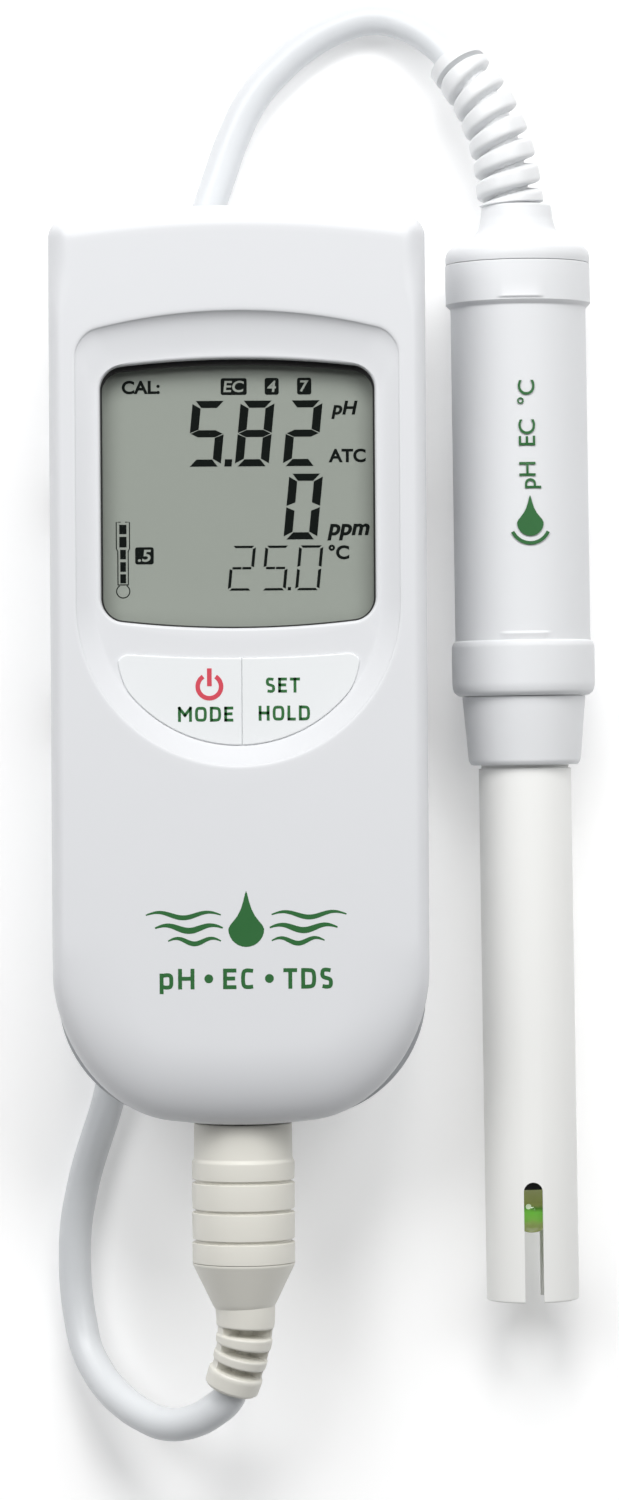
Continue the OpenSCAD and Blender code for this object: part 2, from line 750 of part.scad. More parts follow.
module ferrule_seal() {
    color([0.15, 0.15, 0.16]) at_probe() sleeve(15.05, 16.2, 9.3, spigot_r);
}

module probe_tube() {
    color([0.93, 0.93, 0.92]) at_probe() difference() {
        union() {
            bar(tube_end, ferrule_y - 0.5, tube_r);
            bar(ferrule_y - 0.6, 17, spigot_r);
        }
        bar(tube_end - 1, 18, bore_r);
        translate([-slot_w / 2, -10, tube_end - 1])
            cube([slot_w, 20, slot_top - slot_w / 2 - tube_end + 1]);
        translate([0, 10, slot_top - slot_w / 2]) rotate([90, 0, 0]) cylinder(h = 20, r = slot_w / 2);
    }
}

module electrode_seal() {
    color([0.08, 0.08, 0.08]) at_probe() difference() {
        bar(-69.2, -60, bore_r - 0.05);
        bar(-70, -59, stem_r);
        for (x = [-1, 1]) translate([4.75 * x, 0, 0]) bar(-70, -59, 0.72);
    }
}

module electrode_stem() {
    color([0.8, 0.88, 0.86, 0.5]) at_probe() sleeve(stem_end, 4, stem_r - 0.05, 3.1);
}

module ph_bulb() {
    neck = stem_end - bulb_y;
    color([0.55, 0.8, 0.3, 0.6]) at_probe() translate([0, 0, bulb_y]) difference() {
        union() {
            sphere(r = bulb_r);
            cylinder(h = neck, r1 = bulb_r - 0.8, r2 = 3.5);
        }
        sphere(r = bulb_r - 0.4);
        cylinder(h = neck + fine, r1 = bulb_r - 1.2, r2 = 3.15);
    }
}

module reference_junction() {
    color([0.93, 0.92, 0.88]) at_probe() sleeve(-66, -58, 3.05, 1.2);
}

module reference_wire() {
    color([0.75, 0.75, 0.74]) at_probe() {
        bar(-70.6, 8, 0.35);
        translate([2, 0, 0]) bar(-56, 8, 0.35);
    }
}

module ec_pins() {
    color([0.6, 0.61, 0.63]) at_probe() for (x = [-1, 1]) translate([4.75 * x, 0, 0]) bar(-78, -52, 0.7);
}

module temperature_sensor() {
    color([0.72, 0.73, 0.75]) at_probe() rotate([0, 0, 45]) translate([0, 4.75, 0]) bar(-58, -40, 0.75);
}

front_cover();
rear_cover();
case_gasket();
case_screws();
display_window();
window_seal();
lcd_glass();
lcd_frame();
zebra_strips();
main_board();
board_parts();
board_screws();
key_mat();
mode_button();
set_button();
key_switches();
battery_bay();
battery_1();
battery_2();
battery_3();
battery_springs();
battery_contacts();
battery_cover();
battery_cover_seal();
battery_cover_screws();
socket_shell();
socket_insulator();
socket_contacts();
socket_seal();
socket_leads();
plug_housing();
plug_insert();
plug_pins();
plug_shield();
plug_seal();
lock_ring();
plug_boot();
cord_lower();
cord_hank();
hank_ties();
cord_upper();
probe_gland();
probe_cap();
cap_seal();
handle_shell();
amplifier_board();
ferrule();
ferrule_seal();
probe_tube();
electrode_seal();
electrode_stem();
ph_bulb();
reference_junction();
reference_wire();
ec_pins();
temperature_sensor();
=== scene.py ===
import json
import math

import bmesh
import bpy
import numpy as np
from bpy.props import FloatProperty, FloatVectorProperty, IntProperty, PointerProperty, StringProperty
from bpy.types import Operator, Panel, PropertyGroup
from mathutils import Matrix, Vector


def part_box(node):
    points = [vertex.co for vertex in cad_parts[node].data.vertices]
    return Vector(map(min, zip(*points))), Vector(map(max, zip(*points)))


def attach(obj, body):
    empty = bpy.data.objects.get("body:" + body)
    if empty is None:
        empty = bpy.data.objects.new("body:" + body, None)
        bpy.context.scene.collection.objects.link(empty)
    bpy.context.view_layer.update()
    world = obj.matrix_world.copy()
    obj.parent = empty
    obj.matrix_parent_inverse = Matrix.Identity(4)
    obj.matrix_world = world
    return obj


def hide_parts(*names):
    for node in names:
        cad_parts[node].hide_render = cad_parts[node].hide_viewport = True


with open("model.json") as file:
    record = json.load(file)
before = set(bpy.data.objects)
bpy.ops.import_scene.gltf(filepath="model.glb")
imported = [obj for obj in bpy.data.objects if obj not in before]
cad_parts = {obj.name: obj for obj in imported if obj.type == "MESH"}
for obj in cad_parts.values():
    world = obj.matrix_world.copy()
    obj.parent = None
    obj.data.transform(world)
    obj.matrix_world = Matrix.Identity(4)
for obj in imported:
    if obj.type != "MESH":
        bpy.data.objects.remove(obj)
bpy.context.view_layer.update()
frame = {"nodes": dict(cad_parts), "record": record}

bl_info = {
    "name": "Corded pH, EC and TDS meter",
    "version": (1, 0, 0),
    "blender": (4, 5, 0),
    "location": "View3D > Sidebar > Meter",
    "description": "Builds a hand-held solution meter with its plug, cord and electrode probe",
    "category": "Object",
}

# Lengths below are in millimetres, and a mesh is written in metres.
MM = 0.001


def box_mm(node):
    """The lowest and highest corner of a CAD node, in millimetres."""
    low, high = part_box(node)
    return low / MM, high / MM


FRONT_LOW, FRONT_HIGH = box_mm("front_cover")
REAR_LOW, REAR_HIGH = box_mm("rear_cover")
WINDOW_LOW, WINDOW_HIGH = box_mm("display_window")
LCD_HIGH = box_mm("lcd_glass")[1]
KEY_LOW, KEY_HIGH = box_mm("mode_button")
CASE_X = (FRONT_LOW.x + FRONT_HIGH.x) / 2
CASE_HALF = (FRONT_HIGH.x - FRONT_LOW.x) / 2
PART_Z = FRONT_LOW.z
FACE_Z = FRONT_HIGH.z
BACK_Z = REAR_LOW.z
PLUG_Z = PART_Z
CAD_GRIP_LOW, CAD_GRIP_HIGH = box_mm("handle_shell")
SCREW_PLACES = [(x, y) for x in (-24.6, 24.6) for y in (-34.0, -1.0, 76.0)]
BARREL = frame["record"]["mounts"][0]
BARREL_AXIS = Vector(BARREL["axis"])
BARREL_POS = Vector(BARREL["pos_m"]) / MM
PROBE_TURN = math.atan2(BARREL_AXIS.x, -BARREL_AXIS.y)

# Where things stand on the case, from its middle line.
DISH_DEPTH = 2.4
DISH_HALF = 24.85
DISH_END_Y = 23.15
DISH_TOP = 68.1
WINDOW_Y = (WINDOW_LOW.y + WINDOW_HIGH.y) / 2
WINDOW_HALF = (WINDOW_HIGH.x - WINDOW_LOW.x) / 2 - 1.6
WINDOW_HALF_H = (WINDOW_HIGH.y - WINDOW_LOW.y) / 2 - 1.6
FLOOR_Z = FACE_Z - DISH_DEPTH
KEY_TOP_Z = KEY_HIGH.z - 0.28
KEY_UNDER_Z = KEY_LOW.z + 0.05      # clear of the mat when the key is fully down
KEY_SPLIT_X = 0.45
WALL = 2.0
RIM_GROW = 0.7                      # how far the dish's soft rim reaches out
RIM_FALL = 0.22                     # and how far it falls
SOCKET_HOLE = 6.1                   # radius of the hole in the bottom end


# ---- settings -------------------------------------------------------------------------------

class MeterStageSettings(PropertyGroup):
    """Camera, lamps and floor."""
    height: FloatProperty(name="Camera height", description="Height of the camera above the floor",
                          default=0.83, unit="LENGTH")
    lens: FloatProperty(name="Lens", description="Focal length in millimetres", default=123.4)
    roll: FloatProperty(name="Roll", description="Turn of the camera about its view", subtype="ANGLE",
                        default=math.radians(-0.38))
    key_power: FloatProperty(name="Key lamp", description="Power of the soft lamp beyond the top end",
                             default=6.3)
    side_power: FloatProperty(name="Side lamps", description="Power of the two lamps at the sides",
                              default=12.9)
    sky: FloatProperty(name="Sky", description="Strength of the light from all round, dark straight above",
                       default=0.21)
    floor_glow: FloatProperty(name="Floor glow", description="Light that the floor gives off", default=0.22)


class MeterCaseSettings(PropertyGroup):
    """Case, display and keys."""
    white: FloatVectorProperty(name="Case white", description="Colour of the moulded case", subtype="COLOR",
                               default=(0.755, 0.765, 0.785))
    key_white: FloatVectorProperty(name="Key white", description="Colour of the keys", subtype="COLOR",
                                   default=(0.84, 0.86, 0.87))
    print_green: FloatVectorProperty(name="Print green", description="Colour of the printed marks",
                                     subtype="COLOR", default=(0.022, 0.15, 0.034))
    power_red: FloatVectorProperty(name="Power red", description="Colour of the power mark",
                                   subtype="COLOR", default=(0.69, 0.064, 0.10))
    samples: IntProperty(name="Outline steps", description="Points round the case's outline",
                         default=640, min=120)


class MeterDisplaySettings(PropertyGroup):
    """Liquid crystal display."""
    glass: FloatVectorProperty(name="Display", description="Colour of the display's clear parts",
                               subtype="COLOR", default=(0.36, 0.39, 0.348))
    dark: FloatVectorProperty(name="Segments", description="Colour of the segments that are on",
                              subtype="COLOR", default=(0.004, 0.006, 0.005))
    upper: StringProperty(name="Upper reading", description="Digits of the upper line", default="5.82")
    middle: StringProperty(name="Middle reading", description="Digits of the middle line", default="0")
    lower: StringProperty(name="Lower reading", description="Digits of the lower line", default="25.0")


class MeterPlugSettings(PropertyGroup):
    """Plug, cord and ties."""
    beige: FloatVectorProperty(name="Plug", description="Colour of the plug", subtype="COLOR",
                               default=(0.77, 0.755, 0.69))
    cord: FloatVectorProperty(name="Cord", description="Colour of the cord's jacket", subtype="COLOR",
                              default=(0.73, 0.75, 0.77))
    diameter: FloatProperty(name="Cord diameter", description="Outer diameter of the cord", default=0.0053,
                            unit="LENGTH")
    length: FloatProperty(name="Cord length", description="Measured length of the cord's line", default=0.99,
                          unit="LENGTH")


class MeterProbeSettings(PropertyGroup):
    """Probe."""
    handle: FloatVectorProperty(name="Handle", description="Colour of the handle", subtype="COLOR",
                                default=(0.79, 0.80, 0.815))
    tube: FloatVectorProperty(name="Tube", description="Colour of the electrode's tube", subtype="COLOR",
                              default=(0.89, 0.89, 0.87))
    rib_pitch: FloatProperty(name="Relief pitch", description="Pitch of the spiral rib on the cord's relief",
                             default=0.00378, unit="LENGTH")


# ---- meshes ---------------------------------------------------------------------------------

def link(obj):
    """Puts a new object in the scene."""
    bpy.context.scene.collection.objects.link(obj)
    return obj


def mesh_piece(name, points, faces, sharp=math.radians(38)):
    """A smooth-shaded object from points in millimetres, with its normals out and its creases sharp."""
    mesh = bpy.data.meshes.new(name)
    mesh.from_pydata([tuple(float(c) * MM for c in p) for p in points], [], faces)
    tidy_mesh(mesh, sharp)
    return link(bpy.data.objects.new(name, mesh))


def tidy_mesh(mesh, sharp=math.radians(38)):
    """Merges doubled points, turns the normals out and marks creases."""
    bm = bmesh.new()
    bm.from_mesh(mesh)
    bmesh.ops.remove_doubles(bm, verts=bm.verts, dist=1e-7)
    bmesh.ops.recalc_face_normals(bm, faces=bm.faces)
    bm.to_mesh(mesh)
    bm.free()
    mesh.shade_smooth()
    mesh.set_sharp_from_angle(angle=sharp)


def ring_faces(count, steps, start=0, closed=False):
    """Quads between count rings of steps points; closed joins the last ring to the first."""
    faces = []
    for i in range(count if closed else count - 1):
        a, b = start + i * steps, start + ((i + 1) % count) * steps
        faces += [(a + k, a + (k + 1) % steps, b + (k + 1) % steps, b + k) for k in range(steps)]
    return faces


def loft(name, rings, closed=False, sharp=math.radians(38)):
    """A solid through rings of equal length: capped at both ends, or closed into a loop."""
    steps = len(rings[0])
    points = [p for ring in rings for p in ring]
    faces = ring_faces(len(rings), steps, closed=closed)
    if not closed:
        for ring, first in ((rings[0], 0), (rings[-1], len(points) - steps)):
            centre = np.mean(np.array(ring, float), axis=0)
            points.append(tuple(centre))
            hub = len(points) - 1
            faces += [(first + k, first + (k + 1) % steps, hub) for k in range(steps)]
    return mesh_piece(name, points, faces, sharp)


def carve(obj, cutters, operation="DIFFERENCE"):
    """Cuts solids out of obj and drops them. The cutters are joined by the same exact solver."""
    for cutter in cutters:
        modifier = obj.modifiers.new("cut", "BOOLEAN")
        modifier.operation = operation
        modifier.solver = "EXACT"
        modifier.object = cutter
    bpy.context.view_layer.update()
    evaluated = obj.evaluated_get(bpy.context.evaluated_depsgraph_get())
    cut = bpy.data.meshes.new_from_object(evaluated)
    obj.modifiers.clear()
    old = obj.data
    obj.data = cut
    cut.name = old.name + "_cut"
    bpy.data.meshes.remove(old)
    for cutter in cutters:
        bpy.data.objects.remove(cutter)
    tidy_mesh(obj.data)
    return obj


def join(name, objects):
    """One object from several, keeping their shapes."""
    bm = bmesh.new()
    for obj in objects:
        piece = obj.data.copy()
        piece.transform(obj.matrix_world)
        bm.from_mesh(piece)
        bpy.data.meshes.remove(piece)
        bpy.data.objects.remove(obj)
    mesh = bpy.data.meshes.new(name)
    bm.to_mesh(mesh)
    bm.free()
    mesh.shade_smooth()
    mesh.set_sharp_from_angle(angle=math.radians(38))
    return link(bpy.data.objects.new(name, mesh))


def filleted(corners, steps=5):
    """A profile with rounded corners from (radius from axis, height, fillet radius) triples."""
    points = []
    for i, (x, y, r) in enumerate(corners):
        if r <= 0 or i in (0, len(corners) - 1):
            points.append((x, y))
            continue
        here = np.array((x, y))
        before = np.array(corners[i - 1][:2]) - here
        after = np.array(corners[i + 1][:2]) - here
        reach = min(r, 0.45 * np.linalg.norm(before), 0.45 * np.linalg.norm(after))
        a = here + before / np.linalg.norm(before) * reach
        b = here + after / np.linalg.norm(after) * reach
        for k in range(steps + 1):
            t = k / steps
            points.append(tuple((1 - t) ** 2 * a + 2 * t * (1 - t) * here + t * t * b))
    return points


def lathe(name, profile, place, steps=96, closed=False):
    """Turns a profile of (radius, height) about the local Y axis and puts it at place."""
    rings = []
    for r, y in profile:
        ring = []
        for k in range(steps):
            a = 2 * math.pi * k / steps
            ring.append(tuple(place @ Vector((r * math.sin(a), y, r * math.cos(a)))))
        rings.append(ring)
    return loft(name, rings, closed=closed)


def round_shell(name, profile, place, steps=128):
    """Turns a closed profile of (radius, height, fillet)."""
    return lathe(name, filleted(profile), place, steps, closed=True)


def at_plug():
    """From the plug's own axis, along Y, to the row frame."""
    return Matrix.Translation(Vector((CASE_X, 0, PLUG_Z)))


def at_probe():
    """From the probe's own axis, along Y with zero at the row's middle, to the row frame."""
    middle = BARREL_POS - Vector((-BARREL_POS.y * math.tan(-PROBE_TURN), BARREL_POS.y, 0))
    return Matrix.Translation(middle) @ Matrix.Rotation(PROBE_TURN, 4, "Z")


# ---- outlines -------------------------------------------------------------------------------

def rounded_meet(a, b, r):
    """Signed distance to the shape inside both a and b, with its corner rounded to r."""
    both = np.minimum(np.maximum(a + r, b + r), 0)
    return both + np.hypot(np.maximum(a + r, 0), np.maximum(b + r, 0)) - r


def case_distance(x, y):
    """Signed distance from the case's outline in plan, negative inside."""
    end = np.hypot(x, y - (FRONT_LOW.y + 90)) - 90
    lower = rounded_meet(np.abs(x) - CASE_HALF, end, 18)
    arch = np.hypot(x, y - (FRONT_HIGH.y - 183)) - 183
    return rounded_meet(lower, arch, 2.6)


def dish_distance(s):
    """Signed distance from the dish's outline, s from 0 at its rim to 1 at its floor."""
    def distance(x, y):
        half = DISH_HALF - 3.0 * s
        lower = np.where(y < DISH_END_Y, np.hypot(x, y - DISH_END_Y) - half, np.abs(x) - half)
        arch = np.hypot(x, y - (DISH_TOP - 6.2 * s - 90)) - 90
        return rounded_meet(lower, arch, 3.2 + 0.5 * s)
    return distance


def window_distance(x, y):
    """Signed distance from the display window's outline."""
    reach = 154 - WINDOW_HALF_H
    v = y - WINDOW_Y
    upper = np.hypot(x, v + reach) - 154
    lower = np.hypot(x, v - reach) - 154
    sides = np.abs(x) - WINDOW_HALF
    return rounded_meet(rounded_meet(sides, upper, 3.2), lower, 3.2)


def key_distance(side):
    """Signed distance from one key's outline: side -1 is the left half of the D, 1 the right."""
    def distance(x, y):
        arc = np.hypot(x, y - DISH_END_Y) - 21.75
        top = 220 - np.hypot(x, y - 234.85)
        outer = rounded_meet(rounded_meet(arc, top, 1.4), side * x - 18.9, 2.2)
        return rounded_meet(outer, 0.015 - side * (x - KEY_SPLIT_X), 0.1)
    return distance


def outline(distance, angles, centre, grow=0.0, reach=140.0):
    """Points where the distance equals grow, one on each ray from centre. x is from the case's middle."""
    dx, dy = np.sin(angles), np.cos(angles)
    near, far = np.zeros_like(angles), np.full_like(angles, reach)
    for _ in range(44):
        middle = (near + far) / 2
        inside = distance(centre[0] + dx * middle, centre[1] + dy * middle) < grow
        near, far = np.where(inside, middle, near), np.where(inside, far, middle)
    return centre[0] + dx * near, centre[1] + dy * near


def smooth(t):
    """An even step from 0 to 1."""
    t = np.clip(t, 0, 1)
    return t * t * (3 - 2 * t)


def face_height(x, y):
    """Height of the gently crowned face, x from the case's middle."""
    across = (x / CASE_HALF) ** 2
    along = ((y - 10) / 70) ** 2
    return FACE_Z - 1.1 * across - 0.35 * along


def ring3(x, y, z):
    """A ring of points in the row frame, from x measured off the case's middle."""
    z = np.broadcast_to(z, np.shape(x))
    return [(CASE_X + a, b, c) for a, b, c in zip(x, y, z)]


def slab(name, distance, centre, z0, z1, grow=0.0, steps=200, fillet=0.0):
    """A flat solid with this outline, its upper edge rounded by fillet."""
    angles = np.linspace(0, 2 * math.pi, steps, endpoint=False)
    rings = [ring3(*outline(distance, angles, centre, grow), z0)]
    if fillet > 0:
        for k in range(5):
            a = math.pi / 2 * k / 4
            x, y = outline(distance, angles, centre, grow - fillet * (1 - math.cos(a)))
            rings.append(ring3(x, y, z1 - fillet * (1 - math.sin(a))))
        for grown in (grow - 1.5 * fillet, grow - 3 * fillet):
            rings.append(ring3(*outline(distance, angles, centre, grown), z1))
    else:
        rings.append(ring3(*outline(distance, angles, centre, grow), z1))
    return loft(name, rings)


def rounded_box(name, low, high, r, z_r=0.0):
    """A plate with round corners in plan and softened upper and lower edges."""
    cx, cy = (low[0] + high[0]) / 2, (low[1] + high[1]) / 2
    hx, hy = (high[0] - low[0]) / 2, (high[1] - low[1]) / 2
    rings = []
    for inset, z in ((z_r, low[2]), (0, low[2] + z_r), (0, high[2] - z_r), (z_r, high[2])):
        ring = []
        for sx, sy, first in ((1, 1, 0), (-1, 1, 90), (-1, -1, 180), (1, -1, 270)):
            for k in range(9):
                a = math.radians(first + 90 * k / 8)
                rr = max(r - inset, 0.01)
                ring.append((cx + sx * (hx - r) + rr * math.cos(a), cy + sy * (hy - r) + rr * math.sin(a), z))
        rings.append(ring)
    return loft(name, rings)


def frames_along(path):
    """Directions, sideways and upward vectors along a path of points."""
    path = np.array(path, float)
    tangent = np.gradient(path, axis=0)
    tangent /= np.linalg.norm(tangent, axis=1)[:, None]
    side = np.cross(tangent, (0.0, 0.0, 1.0))
    side /= np.linalg.norm(side, axis=1)[:, None]
    return path, tangent, side, np.cross(side, tangent)


def spaced(points, step):
    """A smooth path through points, sampled every step, and its length."""
    points = np.array(points, float)
    padded = np.vstack([2 * points[0] - points[1], points, 2 * points[-1] - points[-2]])
    dense = []
    for i in range(1, len(padded) - 2):
        p0, p1, p2, p3 = padded[i - 1:i + 3]
        for k in range(24):
            t = k / 24
            dense.append(0.5 * (2 * p1 + (p2 - p0) * t + (2 * p0 - 5 * p1 + 4 * p2 - p3) * t * t
                                + (3 * p1 - p0 - 3 * p2 + p3) * t ** 3))
    dense.append(points[-1])
    dense = np.array(dense)
    run = np.concatenate([[0], np.cumsum(np.linalg.norm(np.diff(dense, axis=0), axis=1))])
    at = np.arange(0, run[-1], step)
    at = np.append(at, run[-1])
    return np.stack([np.interp(at, run, dense[:, k]) for k in range(3)], axis=1), at


def swept(name, path, radius, steps=64):
    """A closed solid along a path; radius(i, angle) gives its radius, the angle from straight up."""
    path, _, side, up = frames_along(path)
    angles = np.linspace(0, 2 * math.pi, steps, endpoint=False)
    rings = []
    for i, p in enumerate(path):
        r = radius(i, angles)
        ring = p + r[:, None] * (np.sin(angles)[:, None] * side[i] + np.cos(angles)[:, None] * up[i])
        rings.append([tuple(q) for q in ring])
    return loft(name, rings)


# ---- shader groups --------------------------------------------------------------------------

def new_group(name, inputs, outputs):
    """An empty shader group with (kind, name, default) inputs and (kind, name) outputs."""
    group = bpy.data.node_groups.new(name, "ShaderNodeTree")
    for kind, label, default in inputs:
        socket = group.interface.new_socket(label, in_out="INPUT", socket_type="NodeSocket" + kind)
        socket.default_value = default
    for kind, label in outputs:
        group.interface.new_socket(label, in_out="OUTPUT", socket_type="NodeSocket" + kind)
    return group, group.nodes.new("NodeGroupInput"), group.nodes.new("NodeGroupOutput")


def math_node(tree, operation, a, b=None, clamp=False):
    """A math node; a and b are sockets or numbers."""
    node = tree.nodes.new("ShaderNodeMath")
    node.operation = operation
    node.use_clamp = clamp
    for i, value in enumerate((a, b)):
        if value is None:
            continue
        if isinstance(value, (int, float)):
            node.inputs[i].default_value = value
        else:
            tree.links.new(value, node.inputs[i])
    return node.outputs[0]


def mix_colour(tree, factor, a, b):
    """A mix of two colours; each of the three is a socket or a value."""
    node = tree.nodes.new("ShaderNodeMix")
    node.data_type = "RGBA"
    for i, value in ((0, factor), (6, a), (7, b)):
        if isinstance(value, bpy.types.NodeSocket):
            tree.links.new(value, node.inputs[i])
        elif i == 0:
            node.inputs[i].default_value = value
        else:
            node.inputs[i].default_value = (*value, 1)
    return node.outputs[2]


def noise(tree, scale, detail=2.0, rough=0.5, vector=None):
    """A noise texture on the piece's own coordinates."""
    node = tree.nodes.new("ShaderNodeTexNoise")
    node.inputs["Detail"].default_value = detail
    node.inputs["Roughness"].default_value = rough
    if isinstance(scale, (int, float)):
        node.inputs["Scale"].default_value = scale
    else:
        tree.links.new(scale, node.inputs["Scale"])
    if vector is None:
        vector = tree.nodes.new("ShaderNodeTexCoord").outputs["Object"]
    tree.links.new(vector, node.inputs["Vector"])
    return node.outputs["Fac"]


def moulded_group():
    """Moulded plastic: slow drift of tone, fine grain, handling marks and a little dust."""
    group, given, put = new_group("Moulded surface", [
        ("Color", "Base", (0.8, 0.8, 0.8, 1)), ("Color", "Drift", (0.78, 0.78, 0.78, 1)),
        ("Float", "Grain Scale", 6000.0), ("Float", "Roughness", 0.3), ("Float", "Roughness Spread", 0.08),
        ("Float", "Dust", 0.1)], [("Color", "Color"), ("Float", "Roughness"), ("Float", "Height")])
    slow = noise(group, 38.0, 3.0)
    smear = noise(group, 210.0, 4.0, 0.6)
    grain = noise(group, given.outputs["Grain Scale"], 2.0)
    specks = group.nodes.new("ShaderNodeTexVoronoi")
    specks.inputs["Scale"].default_value = 900.0
    group.links.new(group.nodes.new("ShaderNodeTexCoord").outputs["Object"], specks.inputs["Vector"])
    near = math_node(group, "LESS_THAN", specks.outputs["Distance"], 0.045)
    chance = math_node(group, "GREATER_THAN", noise(group, 320.0, 1.0), 0.56)
    dust = math_node(group, "MULTIPLY", math_node(group, "MULTIPLY", near, chance), given.outputs["Dust"])
    drifted = mix_colour(group, slow, given.outputs["Base"], given.outputs["Drift"])
    colour = mix_colour(group, dust, drifted, (0.32, 0.30, 0.27))
    about = math_node(group, "SUBTRACT", smear, 0.5)
    spread = math_node(group, "MULTIPLY", about, given.outputs["Roughness Spread"])
    rough = math_node(group, "ADD", given.outputs["Roughness"], math_node(group, "MULTIPLY", spread, 2.0),
                      clamp=True)
    group.links.new(colour, put.inputs["Color"])
    group.links.new(rough, put.inputs["Roughness"])
    group.links.new(grain, put.inputs["Height"])
    return group


def edge_group():
    """Worn edges: a mask that rises where the surface turns outward."""
    group, given, put = new_group("Edge wear", [("Float", "Amount", 0.3), ("Float", "Reach", 0.04)],
                                  [("Float", "Mask")])
    pointed = group.nodes.new("ShaderNodeNewGeometry").outputs["Pointiness"]
    above = math_node(group, "SUBTRACT", pointed, 0.5)
    scaled = math_node(group, "DIVIDE", above, given.outputs["Reach"], True)
    broken = math_node(group, "MULTIPLY", scaled, noise(group, 1400.0, 3.0))
    group.links.new(math_node(group, "MULTIPLY", broken, given.outputs["Amount"], True), put.inputs["Mask"])
    return group


def weave_group():
    """Woven strap: crossing ribs of thread as a height and a mask."""
    group, given, put = new_group("Weave", [("Float", "Threads", 1400.0)],
                                  [("Float", "Mask"), ("Float", "Height")])
    bands = []
    for direction in ("X", "Y"):
        wave = group.nodes.new("ShaderNodeTexWave")
        wave.bands_direction = direction
        wave.inputs["Distortion"].default_value = 0.6
        group.links.new(given.outputs["Threads"], wave.inputs["Scale"])
        group.links.new(group.nodes.new("ShaderNodeTexCoord").outputs["Object"], wave.inputs["Vector"])
        bands.append(wave.outputs["Fac"])
    height = math_node(group, "MAXIMUM", bands[0], bands[1])
    group.links.new(height, put.inputs["Height"])
    group.links.new(math_node(group, "MULTIPLY", bands[0], bands[1]), put.inputs["Mask"])
    return group


def brushed_group():
    """Drawn or plated metal: fine scratches in the roughness and the height."""
    group, given, put = new_group("Metal scratches", [("Float", "Roughness", 0.25), ("Float", "Spread", 0.2)],
                                  [("Float", "Roughness"), ("Float", "Height")])
    stretch = group.nodes.new("ShaderNodeMapping")
    stretch.inputs["Scale"].default_value = (1.0, 0.06, 1.0)
    group.links.new(group.nodes.new("ShaderNodeTexCoord").outputs["Object"], stretch.inputs["Vector"])
    lines = noise(group, 9000.0, 3.0, 0.6, stretch.outputs["Vector"])
    spread = math_node(group, "MULTIPLY", math_node(group, "SUBTRACT", lines, 0.5), given.outputs["Spread"])
    rough = math_node(group, "ADD", given.outputs["Roughness"], spread, clamp=True)
    group.links.new(rough, put.inputs["Roughness"])
    group.links.new(lines, put.inputs["Height"])
    return group


GROUPS = {}


def place_group(tree, name, **values):
    """A copy of a shared group in a material, with its own values."""
    node = tree.nodes.new("ShaderNodeGroup")
    node.node_tree = GROUPS[name]
    for label, value in values.items():
        socket = node.inputs[label.replace("_", " ")]
        socket.default_value = (*value, 1) if socket.type == "RGBA" else value
    return node


def blank_material(name, **sockets):
    """A material with one Principled shader; the named values are set on its own sockets."""
    material = bpy.data.materials.new(name)
    material.use_nodes = True
    shader = material.node_tree.nodes["Principled BSDF"]
    for label, value in sockets.items():
        shader.inputs[label.replace("_", " ")].default_value = value
    return material, material.node_tree, shader


def bump(tree, shader, height, depth):
    """Feeds a height to the shader's normal; depth is in metres."""
    node = tree.nodes.new("ShaderNodeBump")
    node.inputs["Strength"].default_value = 1.0
    node.inputs["Distance"].default_value = depth
    tree.links.new(height, node.inputs["Height"])
    tree.links.new(node.outputs["Normal"], shader.inputs["Normal"])


def moulded(name, base, drift=0.985, rough=0.3, spread=0.06, grain=7000.0, depth=0.000004, dust=0.0,
            wear=0.0, worn=(0.5, 0.5, 0.48), **sockets):
    """Moulded plastic or rubber in one colour, with drift, grain, dust and worn edges."""
    material, tree, shader = blank_material(name, **sockets)
    surface = place_group(tree, "moulded", Base=base, Drift=[c * drift for c in base], Grain_Scale=grain,
                          Roughness=rough, Roughness_Spread=spread, Dust=dust)
    edges = place_group(tree, "edge", Amount=wear, Reach=0.05)
    colour = mix_colour(tree, edges.outputs["Mask"], surface.outputs["Color"], worn)
    tree.links.new(colour, shader.inputs["Base Color"])
    tree.links.new(surface.outputs["Roughness"], shader.inputs["Roughness"])
    bump(tree, shader, surface.outputs["Height"], depth)
    return material


def metal(name, base, rough=0.25, spread=0.2, depth=0.000003):
    """Bare or plated metal with fine scratches."""
    material, tree, shader = blank_material(name, Metallic=1.0, Base_Color=(*base, 1))
    scratches = place_group(tree, "scratches", Roughness=rough, Spread=spread)
    tree.links.new(scratches.outputs["Roughness"], shader.inputs["Roughness"])
    edges = place_group(tree, "edge", Amount=0.4, Reach=0.08)
    tree.links.new(mix_colour(tree, edges.outputs["Mask"], base, [min(1, c * 1.2) for c in base]),
                   shader.inputs["Base Color"])
    bump(tree, shader, scratches.outputs["Height"], depth)
    return material


def clear(name, tint, alpha, rough=0.03):
    """A clear hard piece: mostly see-through, with its own gloss."""
    material, tree, shader = blank_material(name, IOR=1.49, Alpha=alpha)
    surface = place_group(tree, "moulded", Base=tint, Drift=[c * 0.97 for c in tint], Grain_Scale=900.0,
                          Roughness=rough, Roughness_Spread=0.02, Dust=0.0)
    tree.links.new(surface.outputs["Color"], shader.inputs["Base Color"])
    tree.links.new(surface.outputs["Roughness"], shader.inputs["Roughness"])
    return material


def strap_material(name, base):
    """Black woven strap."""
    material, tree, shader = blank_material(name, Sheen_Weight=0.3)
    weave = place_group(tree, "weave", Threads=1300.0)
    tree.links.new(mix_colour(tree, weave.outputs["Mask"], [c * 0.6 for c in base], base),
                   shader.inputs["Base Color"])
    shader.inputs["Roughness"].default_value = 0.85
    bump(tree, shader, weave.outputs["Height"], 0.00012)
    return material


